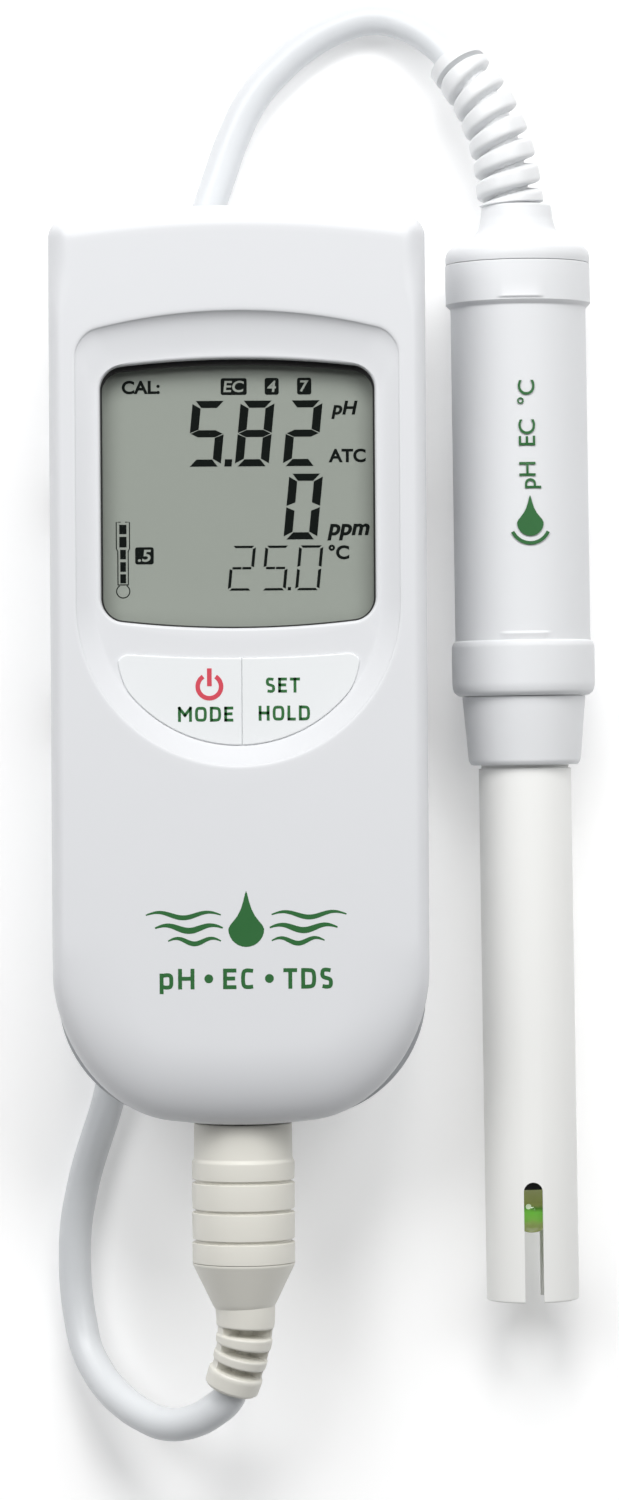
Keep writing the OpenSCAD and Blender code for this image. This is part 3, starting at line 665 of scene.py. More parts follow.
def striped_material(name, a, b, period):
    """Two layers of rubber that alternate across the piece."""
    material, tree, shader = blank_material(name)
    wave = tree.nodes.new("ShaderNodeTexWave")
    wave.inputs["Scale"].default_value = 1 / (20 * period)
    tree.links.new(tree.nodes.new("ShaderNodeTexCoord").outputs["Object"], wave.inputs["Vector"])
    surface = place_group(tree, "moulded", Base=b, Drift=a, Grain_Scale=3000.0, Roughness=0.6,
                          Roughness_Spread=0.1, Dust=0.0)
    stripes = mix_colour(tree, wave.outputs["Fac"], a, surface.outputs["Color"])
    tree.links.new(stripes, shader.inputs["Base Color"])
    tree.links.new(surface.outputs["Roughness"], shader.inputs["Roughness"])
    return material


def board_material(name, base):
    """Solder resist over copper tracks."""
    material, tree, shader = blank_material(name, Coat_Weight=0.4)
    tracks = tree.nodes.new("ShaderNodeTexBrick")
    tracks.inputs["Scale"].default_value = 260.0
    tracks.inputs["Mortar Size"].default_value = 0.03
    tracks.inputs["Color1"].default_value = (*base, 1)
    tracks.inputs["Color2"].default_value = (*[c * 0.8 for c in base], 1)
    tracks.inputs["Mortar"].default_value = (*[min(1, c * 2.1) for c in base], 1)
    tree.links.new(tree.nodes.new("ShaderNodeTexCoord").outputs["Object"], tracks.inputs["Vector"])
    tree.links.new(tracks.outputs["Color"], shader.inputs["Base Color"])
    surface = place_group(tree, "moulded", Base=base, Drift=base, Grain_Scale=2500.0, Roughness=0.35,
                          Roughness_Spread=0.1, Dust=0.0)
    tree.links.new(surface.outputs["Roughness"], shader.inputs["Roughness"])
    bump(tree, shader, tracks.outputs["Fac"], 0.00003)
    return material


def display_material(name, base):
    """The display's reflector behind its glass: a faint sparkle and a slow drift of tone."""
    material, tree, shader = blank_material(name, Specular_IOR_Level=0.25)
    sparkle = noise(tree, 5200.0, 1.0)
    slow = noise(tree, 26.0, 2.0)
    tone = math_node(tree, "ADD", math_node(tree, "MULTIPLY", sparkle, 0.10),
                     math_node(tree, "MULTIPLY", slow, 0.25))
    tree.links.new(mix_colour(tree, tone, base, [c * 0.82 for c in base]), shader.inputs["Base Color"])
    surface = place_group(tree, "moulded", Base=base, Drift=base, Grain_Scale=4000.0, Roughness=0.34,
                          Roughness_Spread=0.05, Dust=0.0)
    tree.links.new(surface.outputs["Roughness"], shader.inputs["Roughness"])
    bump(tree, shader, sparkle, 0.000003)
    return material


def bulb_material(name, low, high, painted_highlight_at):
    """Tinted sensing glass: olive at its neck and tip, bright green in its middle, with a painted highlight
    and a painted glow.
    """
    # Emission in the bulb's own colours makes it glow faintly: painted light that brightens it inside the
    # tube's shaded slot.
    material, tree, shader = blank_material(name, IOR=1.5, Coat_Weight=0.4, Coat_Roughness=0.02,
                                            Emission_Strength=0.35)
    where = tree.nodes.new("ShaderNodeSeparateXYZ")
    tree.links.new(tree.nodes.new("ShaderNodeTexCoord").outputs["Object"], where.inputs[0])
    span = tree.nodes.new("ShaderNodeMapRange")
    span.inputs["From Min"].default_value = low * MM
    span.inputs["From Max"].default_value = high * MM
    tree.links.new(where.outputs["Y"], span.inputs["Value"])
    ramp = tree.nodes.new("ShaderNodeValToRGB")
    stops = [(0.0, (0.27, 0.30, 0.09)), (0.20, (0.27, 0.36, 0.10)), (0.30, (0.20, 0.46, 0.07)),
             (0.50, (0.16, 0.50, 0.06)), (0.60, (0.09, 0.24, 0.035)), (0.66, (0.30, 0.34, 0.11)),
             (1.0, (0.30, 0.33, 0.12))]
    while len(ramp.color_ramp.elements) < len(stops):
        ramp.color_ramp.elements.new(0.5)
    for element, (at, colour) in zip(ramp.color_ramp.elements, stops):
        element.position = at
        element.color = (*colour, 1)
    swirl = math_node(tree, "MULTIPLY", math_node(tree, "SUBTRACT", noise(tree, 420.0, 3.0), 0.5), 0.22)
    tree.links.new(math_node(tree, "ADD", span.outputs[0], swirl), ramp.inputs["Fac"])
    # Pale green within 0.45 mm of the given point: a painted highlight on the bulb's upper side.
    reach = tree.nodes.new("ShaderNodeVectorMath")
    reach.operation = "DISTANCE"
    reach.inputs[1].default_value = [c * MM for c in painted_highlight_at]
    tree.links.new(where.inputs[0].links[0].from_socket, reach.inputs[0])
    painted_highlight = math_node(tree, "LESS_THAN", reach.outputs["Value"], 0.00045)
    colour = mix_colour(tree, painted_highlight, ramp.outputs["Color"], (0.80, 0.95, 0.68))
    tree.links.new(colour, shader.inputs["Base Color"])
    tree.links.new(colour, shader.inputs["Emission Color"])
    surface = place_group(tree, "moulded", Base=(0, 0, 0), Drift=(0, 0, 0), Grain_Scale=1500.0,
                          Roughness=0.06, Roughness_Spread=0.03, Dust=0.0)
    tree.links.new(surface.outputs["Roughness"], shader.inputs["Roughness"])
    return material


MATERIALS = {}


def make_materials(scene):
    """Builds the shared groups once, then one material for each finish."""
    case, plug, probe, display = scene.meter_case, scene.meter_plug, scene.meter_probe, scene.meter_display
    GROUPS.update(moulded=moulded_group(), edge=edge_group(), weave=weave_group(), scratches=brushed_group())
    green, red = tuple(case.print_green), tuple(case.power_red)
    MATERIALS.update(
        case=moulded("Case plastic", tuple(case.white), rough=0.42, Specular_IOR_Level=0.4, dust=0.10,
                     wear=0.12, worn=(0.86, 0.86, 0.85)),
        key=moulded("Key film", tuple(case.key_white), rough=0.38, spread=0.04, dust=0.08),
        print=moulded("Green print", green, drift=0.8, rough=0.45, grain=9000.0),
        power=moulded("Red print", red, drift=0.9, rough=0.45, grain=9000.0),
        lcd=display_material("Display reflector", tuple(display.glass)),
        segment=moulded("Display segments", tuple(display.dark), rough=0.6, spread=0.03,
                        Specular_IOR_Level=0.03),
        digit_light=moulded("Display clear figures", tuple(display.glass), rough=0.3),
        window=clear("Display window", (0.06, 0.07, 0.065), 0.03, 0.02),
        plug=moulded("Plug plastic", tuple(plug.beige), rough=0.42, spread=0.05, dust=0.12, wear=0.15,
                     worn=(0.82, 0.80, 0.74)),
        cord=moulded("Cord jacket", tuple(plug.cord), rough=0.36, spread=0.08, grain=2600.0, depth=0.00001,
                     dust=0.15),
        relief=moulded("Relief jacket", (0.80, 0.81, 0.82), rough=0.40, spread=0.06, grain=2600.0,
                       depth=0.00001),
        handle=moulded("Handle plastic", tuple(probe.handle), rough=0.50, Specular_IOR_Level=0.35, dust=0.10,
                       wear=0.12, worn=(0.86, 0.86, 0.85)),
        tube=moulded("Tube plastic", tuple(probe.tube), rough=0.52, Specular_IOR_Level=0.35, spread=0.05,
                     grain=3600.0, dust=0.12),
        black=moulded("Black rubber", (0.012, 0.012, 0.012), drift=0.8, rough=0.55, spread=0.12,
                      depth=0.00001),
        seal=moulded("Grey silicone", (0.52, 0.53, 0.55), rough=0.6, depth=0.00001),
        chip=moulded("Black moulding", (0.02, 0.02, 0.022), rough=0.5, depth=0.00001),
        frame=moulded("Grey moulding", (0.6, 0.61, 0.62), rough=0.5),
        jacket=moulded("Cell jacket", (0.05, 0.22, 0.10), drift=0.8, rough=0.28, Coat_Weight=0.5),
        wire=moulded("Wire insulation", (0.45, 0.05, 0.04), rough=0.4),
        cloth=moulded("Junction cloth", (0.74, 0.71, 0.62), rough=0.8, grain=5000.0, depth=0.00006),
        strap=strap_material("Woven strap", (0.022, 0.022, 0.025)),
        zebra=striped_material("Layered rubber", (0.7, 0.42, 0.48), (0.03, 0.03, 0.03), 0.00018),
        board=board_material("Solder resist", (0.015, 0.16, 0.06)),
        steel=metal("Plain steel", (0.62, 0.63, 0.65), 0.32),
        nickel=metal("Nickel plate", (0.70, 0.69, 0.66), 0.2),
        gold=metal("Gold plate", (0.83, 0.60, 0.25), 0.2),
        stem=clear("Electrode glass", (0.75, 0.85, 0.8), 0.25),
        # The bulb's last value is the point where its painted highlight sits.
        bulb=bulb_material("Sensing glass with painted glow", -76.6, -69.3, (31.55, -72.1, 14.2)))


def dress(obj, finish, body=None, replaced=()):
    """Gives a piece its material, its body and the CAD nodes that it stands for."""
    obj.data.materials.clear()
    obj.data.materials.append(MATERIALS[finish])
    if body:
        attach(obj, body)
    if replaced:
        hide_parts(*replaced)
    return obj


# ---- stage ----------------------------------------------------------------------------------

class METER_OT_stage(Operator):
    """Makes the camera, the soft lamps and the pale floor"""
    bl_idname = "meter.stage"
    bl_label = "Stage"

    def execute(self, context):
        scene, settings = context.scene, context.scene.meter_stage
        camera = bpy.data.cameras.new("camera")
        camera.lens, camera.sensor_width = settings.lens, 36.0
        camera.clip_start, camera.clip_end = 0.01, 20.0
        eye = link(bpy.data.objects.new("camera", camera))
        eye.location = (-0.00272, 0.00059, settings.height)
        eye.rotation_euler = (0, 0, settings.roll)
        scene.camera = eye
        scene.view_settings.view_transform = "Standard"

        world = bpy.data.worlds.new("studio")
        world.use_nodes = True
        tree = world.node_tree
        sky = tree.nodes["Background"]
        sky.inputs["Strength"].default_value = settings.sky
        heading = tree.nodes.new("ShaderNodeSeparateXYZ")
        tree.links.new(tree.nodes.new("ShaderNodeTexCoord").outputs["Generated"], heading.inputs[0])
        roof = tree.nodes.new("ShaderNodeMapRange")
        roof.inputs["From Min"].default_value, roof.inputs["From Max"].default_value = 0.88, 0.97
        tree.links.new(heading.outputs["Z"], roof.inputs["Value"])
        tree.links.new(mix_colour(tree, roof.outputs[0], (0.98, 0.99, 1.0), (0.10, 0.10, 0.10)),
                       sky.inputs["Color"])
        scene.world = world
        self.lamp("key_lamp", (0.02, 0.82, 0.84), 0.5, settings.key_power, (1.0, 0.99, 0.98))
        for side, share in ((-1, 0.52), (1, 0.48)):
            self.lamp(f"side_lamp_{'left' if side < 0 else 'right'}", (side * 0.62, 0.62, 1.08), 0.7,
                      settings.side_power * share, (0.99, 0.995, 1.0))

        rings = []
        for r, z in ((2.9, -0.03), (3.0, -0.025), (3.0, -0.004), (2.996, 0.0), (1.5, 0.0), (0.5, 0.0)):
            rings.append([(r / MM * math.cos(a), r / MM * math.sin(a), z / MM)
                          for a in (2 * math.pi * k / 96 for k in range(96))])
        floor = loft("floor", rings)
        material, tree, shader = blank_material("Floor paint", Specular_IOR_Level=0.2)
        drift = noise(tree, 3.0)
        tree.links.new(mix_colour(tree, drift, (0.93, 0.93, 0.93), (0.92, 0.92, 0.92)),
                       shader.inputs["Base Color"])
        shader.inputs["Roughness"].default_value = 0.8
        shader.inputs["Emission Color"].default_value = (1, 1, 1, 1)
        shader.inputs["Emission Strength"].default_value = settings.floor_glow
        floor.data.materials.append(material)
        return {"FINISHED"}

    def lamp(self, name, place, size, power, tint):
        """One round soft lamp that looks at the middle of the object."""
        light = bpy.data.lights.new(name, "AREA")
        light.shape, light.size = "DISK", size
        light.energy, light.color = power, tint
        obj = link(bpy.data.objects.new(name, light))
        obj.location = place
        obj.rotation_euler = (-Vector(place)).to_track_quat("-Z", "Y").to_euler()


# ---- cord -----------------------------------------------------------------------------------

# The cord's line in millimetres: from the boot to the hank, and from the hank to the relief.
LOWER = (
    (-15.4, -98.4, 24.7), (-16.2, -100.9, 23.8), (-18.4, -103.0, 22.6), (-21.8, -105.0, 20.6),
    (-25.8, -105.8, 17.6), (-29.6, -104.9, 14.2), (-33.0, -103.0, 11.0), (-35.7, -100.7, 8.2),
    (-37.7, -98.0, 6.0), (-39.1, -95.3, 4.4), (-40.1, -91.0, 3.2), (-40.8, -86.0, 2.7),
    (-41.0, -81.0, 2.7), (-40.8, -76.0, 2.7), (-40.0, -71.0, 2.7), (-38.8, -66.0, 2.7),
    (-37.2, -61.0, 2.7), (-35.6, -56.0, 2.7), (-34.4, -50.0, 2.7), (-33.7, -42.0, 2.7),
    (-33.4, -32.0, 2.7), (-33.4, -22.0, 2.9))
UPPER = (
    (-20.0, -32.8, 8.0), (-25.4, -31.2, 8.4), (-30.4, -27.6, 8.6), (-34.4, -23.0, 8.6),
    (-37.2, -17.6, 8.1), (-38.9, -11.0, 6.6), (-39.6, -3.0, 4.4), (-39.7, 6.0, 3.3),
    (-39.7, 16.0, 3.2), (-39.7, 26.0, 3.1), (-39.7, 36.0, 3.0), (-39.7, 46.0, 2.9),
    (-38.9, 54.0, 2.8), (-36.3, 61.4, 2.7), (-32.2, 67.6, 2.7), (-27.2, 73.2, 2.7),
    (-22.8, 78.8, 2.7), (-19.6, 84.6, 2.7), (-16.9, 92.0, 2.7), (-14.2, 99.4, 2.7),
    (-11.0, 105.6, 2.7), (-6.8, 110.4, 2.7), (-2.2, 114.2, 2.7), (3.0, 116.9, 2.8),
    (8.3, 118.1, 3.2), (13.3, 117.0, 4.2), (17.5, 114.4, 5.8), (21.2, 110.6, 7.6))
BOOT = ((-13.4, -85.2, 26.0), (-13.3, -88.2, 25.9), (-13.6, -91.8, 25.7), (-14.4, -95.3, 25.2),
        (-15.7, -99.4, 24.4))
RELIEF = ((29.95, 86.0, 11.5), (29.65, 89.2, 11.5), (29.15, 93.2, 11.4), (28.25, 97.1, 11.1),
          (26.95, 100.8, 10.6), (25.25, 104.4, 9.8), (22.95, 107.9, 8.8), (20.9, 110.9, 7.5))
HANK_X, HANK_LOW, HANK_HIGH = -12.2, -10.0, 50.0
HANK_OUTER, HANK_INNER, HANK_UPPER = 21.2, 15.9, 18.55
LAID_Z = 3.25


def hank_path(step=7.5):
    """Three turns clockwise: an outer and an inner one low down, and one in the groove between them."""
    rise = lambda gap, least=0.0: math.sqrt(max(5.3 ** 2 - gap ** 2, least ** 2))
    ease = lambda t: float(smooth(t))
    low_bends = (
        lambda a: (HANK_OUTER - 5.3 * ease(a / 180), LAID_Z),
        lambda a: (HANK_INNER + 2.65 * ease((a - 20) / 160),
                   LAID_Z + (rise(HANK_OUTER - 5.3 * ease(a / 180) - HANK_INNER - 2.65 * ease((a - 20) / 160))
                             if a > 20 else 0.0)),
        lambda a: (HANK_UPPER + 4.4 * ease(a / 60),
                   LAID_Z + rise(HANK_UPPER + 4.4 * ease(a / 60) - HANK_OUTER, 4.55)))
    path = []
    for r, z, bend in zip((HANK_OUTER, HANK_INNER, HANK_UPPER), (LAID_Z, LAID_Z, LAID_Z + 4.59), low_bends):
        runs = int((HANK_HIGH - HANK_LOW) // 12)
        path += [(HANK_X - r, HANK_LOW + 12.0 * k, z) for k in range(runs + 1)]
        turn = int(180 // step)
        path += [(HANK_X - r * math.cos(math.radians(step * k)),
                  HANK_HIGH + r * math.sin(math.radians(step * k)), z) for k in range(1, turn)]
        path += [(HANK_X + r, HANK_HIGH - 12.0 * k, z) for k in range(runs + 1)]
        last = 13 if bend is low_bends[-1] else turn
        for k in range(1, last):
            reach, lift = bend(step * k)
            angle = math.radians(step * k)
            path.append((HANK_X + reach * math.cos(angle), HANK_LOW - reach * math.sin(angle), lift))
    return path


class METER_OT_cord(Operator):
    """Lays the cord: plug to hank, three tied turns under the case, and round to the probe"""
    bl_idname = "meter.cord"
    bl_label = "Cord"

    def execute(self, context):
        settings = context.scene.meter_plug
        line = [*LOWER, *hank_path(), *UPPER]
        curve = bpy.data.curves.new("cord", "CURVE")
        curve.dimensions = "3D"
        curve.bevel_depth = settings.diameter / 2
        curve.bevel_resolution = 6
        curve.resolution_u = 6
        curve.use_fill_caps = True
        spline = curve.splines.new("BEZIER")
        spline.bezier_points.add(len(line) - 1)
        for point, place in zip(spline.bezier_points, line):
            point.co = [c * MM for c in place]
            point.handle_left_type = point.handle_right_type = "AUTO"
        cord = link(bpy.data.objects.new("cord", curve))
        dress(cord, "cord", "lead", ("cord_lower", "cord_hank", "cord_upper"))
        context.view_layer.update()
        length = sum(s.calc_length() for s in curve.splines)
        if not 0.8 < length < 1.1:
            raise RuntimeError(f"the cord came out {length:.3f} m long")
        scene = context.scene
        scene.meter_plug.length = length
        return {"FINISHED"}


# ---- case -----------------------------------------------------------------------------------

def upright_at(x, y, z):
    """Turns a lathe's axis upright and puts it on the case."""
    return Matrix.Translation((CASE_X + x, y, z)) @ Matrix.Rotation(math.pi / 2, 4, "X")


def socket_hole():
    """The cutter that lets the socket out of the bottom end."""
    return lathe("socket_hole", [(SOCKET_HOLE, FRONT_LOW.y - 4), (SOCKET_HOLE, FRONT_LOW.y + 10)], at_plug())


class METER_OT_case(Operator):
    """Makes both covers of the case, with the dish, the window's opening and the key holes"""
    bl_idname = "meter.case"
    bl_label = "Case"

    def execute(self, context):
        steps = context.scene.meter_case.samples
        front = self.front(steps)
        rear = self.rear(steps)
        dress(front, "case", "meter", ("front_cover",))
        dress(rear, "case", "meter", ("rear_cover",))
        if min(len(front.data.polygons), len(rear.data.polygons)) < 1000:
            raise RuntimeError("a cover of the case was cut away")
        return {"FINISHED"}

    def front(self, steps):
        """The upper cover as one closed shell."""
        centre = (0.0, WINDOW_Y)
        angles = np.linspace(0, 2 * math.pi, steps, endpoint=False)
        cosine = np.cos(angles)
        rings = []

        def add(distance, grow, z):
            x, y = outline(distance, angles, centre, grow)
            rings.append(ring3(x, y, z(x, y) if callable(z) else z))
            return x, y

        for grow, z in ((-0.45, 0.0), (-0.10, 0.30), (0.0, 0.8), (0.0, 3.0), (-0.08, 6.0)):
            add(case_distance, grow, PART_Z + z)
        end = outline(case_distance, angles, centre)[1]
        nose = smooth((-33.0 - end) / 23.0)
        low = PART_Z + 10.2 - 2.2 * nose
        inset = 2.2 + 1.5 * smooth((end - 68.0) / 12.0) + 10.5 * nose
        for k in range(13):
            a = math.pi / 2 * k / 12
            edge = add(case_distance, -0.15 - inset * (1 - math.cos(a)),
                       lambda x, y: low + (face_height(x, y) - low) * math.sin(a))
        rim = outline(dish_distance(0), angles, centre, RIM_GROW)
        for t in (0.06, 0.2, 0.4, 0.6, 0.8, 0.95):
            x, y = edge[0] + (rim[0] - edge[0]) * t, edge[1] + (rim[1] - edge[1]) * t
            rings.append(ring3(x, y, face_height(x, y)))
        top, low_end = smooth((cosine - 0.60) / 0.16), smooth((-cosine - 0.5) / 0.3)
        power = 1.35 - 0.25 * low_end
        for k in range(6):
            a = math.pi / 2 * k / 5
            add(dish_distance(0), RIM_GROW * (1 - math.sin(a)),
                lambda x, y: face_height(x, y) - RIM_FALL * (1 - math.cos(a)))
        for s in (0.03, 0.08, 0.15, 0.24, 0.34, 0.45, 0.57, 0.70, 0.82, 0.92, 1.0):
            steep = 0.38 * (1 - (1 - s) ** 8) + 0.62 * (1 - (1 - s) ** 1.4)
            drop = (1 - (1 - s) ** power) * (1 - top) + steep * top
            add(dish_distance(s), 0.0,
                lambda x, y: (face_height(x, y) - RIM_FALL) * (1 - drop) + FLOOR_Z * drop)
        inner, sill = outline(dish_distance(1), angles, centre), outline(window_distance, angles, centre, 0.5)
        for t in (0.1, 0.5, 0.9):
            x, y = inner[0] + (sill[0] - inner[0]) * t, inner[1] + (sill[1] - inner[1]) * t
            rings.append(ring3(x, y, FLOOR_Z))
        for k in range(6):
            a = math.pi / 2 * k / 5
            add(window_distance, 0.5 * (1 - math.sin(a)), FLOOR_Z - 0.5 * (1 - math.cos(a)))
        under = WINDOW_HIGH.z + 0.5
        add(window_distance, 0.0, under)
        for grow in (2.0, 3.5):
            add(window_distance, grow, under)
        wall = outline(case_distance, angles, centre, -WALL)
        pan = outline(window_distance, angles, centre, 3.5)
        for t in (0.3, 0.7):
            rings.append(ring3(pan[0] + (wall[0] - pan[0]) * t, pan[1] + (wall[1] - pan[1]) * t, under))
        add(case_distance, -WALL, under)
        add(case_distance, -WALL, PART_Z)
        shell = loft("front_shell", rings, closed=True)
        cutters = [slab("key_hole", key_distance(side), (side * 9.0, 7.0), under - 1, FLOOR_Z + 1, grow=0.015)
                   for side in (-1, 1)]
        cutters.append(socket_hole())
        carve(shell, cutters)
        tall = under - PART_Z - 0.02
        posts = [round_shell("post", [(1.1, 0, 0), (2.6, 0, 0.2), (2.6, tall, 0), (1.1, tall, 0)],
                             upright_at(x, y, PART_Z), 40) for x, y in SCREW_PLACES]
        return join("front_shell", [shell, *posts])

    def rear(self, steps):
        """The lower cover as one closed shell, with the battery opening."""
        centre = (0.0, 13.7)
        angles = np.linspace(0, 2 * math.pi, steps, endpoint=False)
        rings = []
        top = REAR_HIGH.z
        bend_low, bend_high = BACK_Z + 2, BACK_Z + 6
        for grow, z in ((-60, bend_low), (-20, bend_low), (-5.2, bend_low), (-4.4, bend_low + 0.8),
                        (-4.4, bend_high), (-2.0, bend_high), (-2.0, top), (-0.45, top), (-0.1, top - 0.3),
                        (0.0, top - 0.8), (0.0, bend_high + 3)):
            scale = 0.02 if grow == -60 else 1.0
            x, y = outline(case_distance, angles, centre, max(grow, -20))
            rings.append(ring3(x * scale, centre[1] + (y - centre[1]) * scale, z))
        for k in range(9):
            a = math.pi / 2 * k / 8
            x, y = outline(case_distance, angles, centre, -5.0 * (1 - math.cos(a)))
            rings.append(ring3(x, y, bend_high - 6.0 * math.sin(a)))
        for grow, scale in ((-20, 1.0), (-20, 0.02)):
            x, y = outline(case_distance, angles, centre, grow)
            rings.append(ring3(x * scale, centre[1] + (y - centre[1]) * scale, BACK_Z))
        shell = loft("rear_shell", rings)
        low, high = box_mm("battery_cover")
        cutters = [
            rounded_box("recess", (low.x - 0.2, low.y - 0.2, BACK_Z - 1),
                        (high.x + 0.2, high.y + 0.2, BACK_Z + 1.6), 1.0),
            rounded_box("opening", (low.x + 4.2, low.y + 1.6, BACK_Z - 1),
                        (high.x - 4.2, high.y - 1.6, BACK_Z + 9), 0.6),
            socket_hole()]
        for x, y in SCREW_PLACES:
            cutters.append(lathe("screw_hole", [(2.6, -1), (2.6, 1.2), (1.45, 1.21), (1.45, 14)],
                                 upright_at(x, y, BACK_Z), steps=40))
        carve(shell, cutters)
        tall = top - BACK_Z
        posts = [round_shell("post", [(1.45, 2.02, 0), (3.2, 2.02, 0), (3.2, tall, 0.2), (1.45, tall, 0)],
                             upright_at(x, y, BACK_Z), 40) for x, y in SCREW_PLACES]
        return join("rear_shell", [shell, *posts])


# ---- printing -------------------------------------------------------------------------------

def prism(outline_points):
    """A thin plate from its outline, as points with a side marker: 1 above, 0 below."""
    n = len(outline_points)
    points = [(x, y, 1) for x, y in outline_points] + [(x, y, 0) for x, y in outline_points]
    faces = [tuple(range(n)), tuple(reversed(range(n, 2 * n)))]
    faces += [(k, (k + 1) % n, n + (k + 1) % n, n + k) for k in range(n)]
    return points, faces


def ribbon(path, width):
    """A thin plate along a line of points; width is a number or one for each point."""
    path = np.array(path, float)
    widths = np.broadcast_to(width, len(path))
    along = np.gradient(path, axis=0)
    along /= np.linalg.norm(along, axis=1)[:, None]
    across = np.stack([-along[:, 1], along[:, 0]], axis=1) * widths[:, None] / 2
    left, right = path + across, path - across
    n = len(path)
    points = [(*p, marker) for marker in (1, 0) for side in (left, right) for p in side]
    faces = []
    for k in range(n - 1):
        faces += [(k, k + 1, n + k + 1, n + k), (2 * n + k, 3 * n + k, 3 * n + k + 1, 2 * n + k + 1),
                  (k, 2 * n + k, 2 * n + k + 1, k + 1), (n + k, n + k + 1, 3 * n + k + 1, 3 * n + k)]
    faces += [(0, n, 3 * n, 2 * n), (n - 1, 3 * n - 1, 4 * n - 1, 2 * n - 1)]
    return points, faces


def glyphs(text, x0, x1, y0, y1, shear=0.0, weight=0.0):
    """Letters as thin plates that fill this box."""
    curve = bpy.data.curves.new("glyphs", "FONT")
    curve.body, curve.shear, curve.offset = text, shear, weight
    curve.extrude, curve.resolution_u = 0.5, 5
    holder = link(bpy.data.objects.new("glyphs", curve))
    bpy.context.view_layer.update()
    mesh = bpy.data.meshes.new_from_object(holder.evaluated_get(bpy.context.evaluated_depsgraph_get()))
    bpy.data.objects.remove(holder)
    co = np.array([tuple(v.co) for v in mesh.vertices])
    faces = [tuple(p.vertices) for p in mesh.polygons]
    bpy.data.meshes.remove(mesh)
    low, high = co.min(axis=0), co.max(axis=0)
    x = x0 + (co[:, 0] - low[0]) / (high[0] - low[0]) * (x1 - x0)
    y = y0 + (co[:, 1] - low[1]) / (high[1] - low[1]) * (y1 - y0)
    return [(a, b, 1 if c > 0 else 0) for a, b, c in zip(x, y, co[:, 2])], faces


# Letters as pen strokes in a box one unit high: its width, straight strokes and curved strokes.
STROKES = {
    "M": (0.92, (((0, 0), (0, 1)), ((0, 1), (0.46, 0.42)), ((0.46, 0.42), (0.92, 1)),
                 ((0.92, 1), (0.92, 0))), ()),
    "O": (0.74, (), (((0.37, 1), (0.08, 0.98), (0, 0.75), (0, 0.25), (0.08, 0.02), (0.37, 0), (0.66, 0.02),
                      (0.74, 0.25), (0.74, 0.75), (0.66, 0.98), (0.37, 1)),)),
    "D": (0.70, (((0, 0), (0, 1)),),
          (((0, 1), (0.3, 1), (0.62, 0.97), (0.70, 0.7), (0.70, 0.3), (0.62, 0.03), (0.3, 0), (0, 0)),)),
    "E": (0.52, (((0, 0), (0, 1)), ((0, 1), (0.52, 1)), ((0, 0), (0.52, 0)), ((0, 0.52), (0.45, 0.52))), ()),
    "S": (0.56, (), (((0.54, 0.97), (0.3, 1.02), (0.03, 1), (0, 0.72), (0.06, 0.56), (0.5, 0.46), (0.56, 0.3),
                      (0.54, 0.02), (0.28, -0.02), (0.02, 0.03)),)),
    "T": (0.62, (((0, 1), (0.62, 1)), ((0.31, 1), (0.31, 0))), ()),
    "H": (0.68, (((0, 0), (0, 1)), ((0.68, 0), (0.68, 1)), ((0, 0.52), (0.68, 0.52))), ()),
    "L": (0.46, (((0, 1), (0, 0)), ((0, 0), (0.46, 0))), ()),
    "C": (0.56, (), (((0.56, 0.97), (0.3, 1.01), (0.07, 0.98), (0, 0.75), (0, 0.25), (0.07, 0.02),
                      (0.3, -0.01), (0.56, 0.03)),)),
    "p": (0.54, (((0, -0.28), (0, 0.72)),),
          (((0, 0.68), (0.3, 0.76), (0.52, 0.7), (0.54, 0.38), (0.52, 0.04), (0.3, -0.02), (0, 0.04)),)),
}


def pen(text, x0, x1, y0, y1, thick):
    """Words in even pen strokes between x0 and x1, capitals from y0 to y1; it gives several parts."""
    space, tall = 0.26, y1 - y0 - thick
    total = sum(STROKES[letter][0] for letter in text) + space * (len(text) - 1)
    scale = (x1 - x0 - thick * len(text)) / total
    parts, x = [], x0 + thick / 2
    for letter in text:
        wide, straight, curved = STROKES[letter]
        put = lambda p: np.array((x + p[0] * scale, y0 + thick / 2 + p[1] * tall))
        for a, b in straight:
            a, b = put(a), put(b)
            reach = (b - a) / np.linalg.norm(b - a) * thick / 2
            parts.append(ribbon([a - reach, b + reach], thick))
        for line in curved:
            points = [put(p) for p in line]
            for _ in range(3):
                points = [points[0]] + [q for a, b in zip(points, points[1:])
                                        for q in (a * 0.75 + b * 0.25, a * 0.25 + b * 0.75)] + [points[-1]]
            parts.append(ribbon(points, thick))
        x += wide * scale + space * scale + thick
    return parts


def turned(part, x, y):
    """A part turned a quarter left, then moved to x, y."""
    points, faces = part
    return [(x - b, y + a, side) for a, b, side in points], faces


def printed(name, parts, height, thick=0.035, sink=0.06, place=None):
    """One mesh of thin plates that lie on the surface z = height(x, y)."""
    points, faces = [], []
    for part_points, part_faces in parts:
        start = len(points)
        for x, y, side in part_points:
            z = float(height(x, y)) + (thick if side else -sink)
            points.append(tuple(place @ Vector((x, y, z))) if place else (CASE_X + x, y, z))
        faces += [tuple(start + i for i in face) for face in part_faces]
    return mesh_piece(name, points, faces, sharp=math.radians(30))


def arc(cx, cy, r, first, last, steps=24):
    """Points on an arc, its angles in degrees anticlockwise from the right."""
    return [(cx + r * math.cos(math.radians(first + (last - first) * k / steps)),
             cy + r * math.sin(math.radians(first + (last - first) * k / steps))) for k in range(steps + 1)]


def drop_shape(cx, cy, r, tall, steps=28):
    """A drop's outline: round below and pointed above."""
    points = []
    for k in range(steps):
        a = 2 * math.pi * k / steps
        lift = max(0.0, math.cos(a)) ** 5
        points.append((cx + r * math.sin(a) * (1 - 0.75 * max(0.0, math.cos(a)) ** 1.5),
                       cy + r * math.cos(a) + (tall - 2 * r) * lift))
    return points


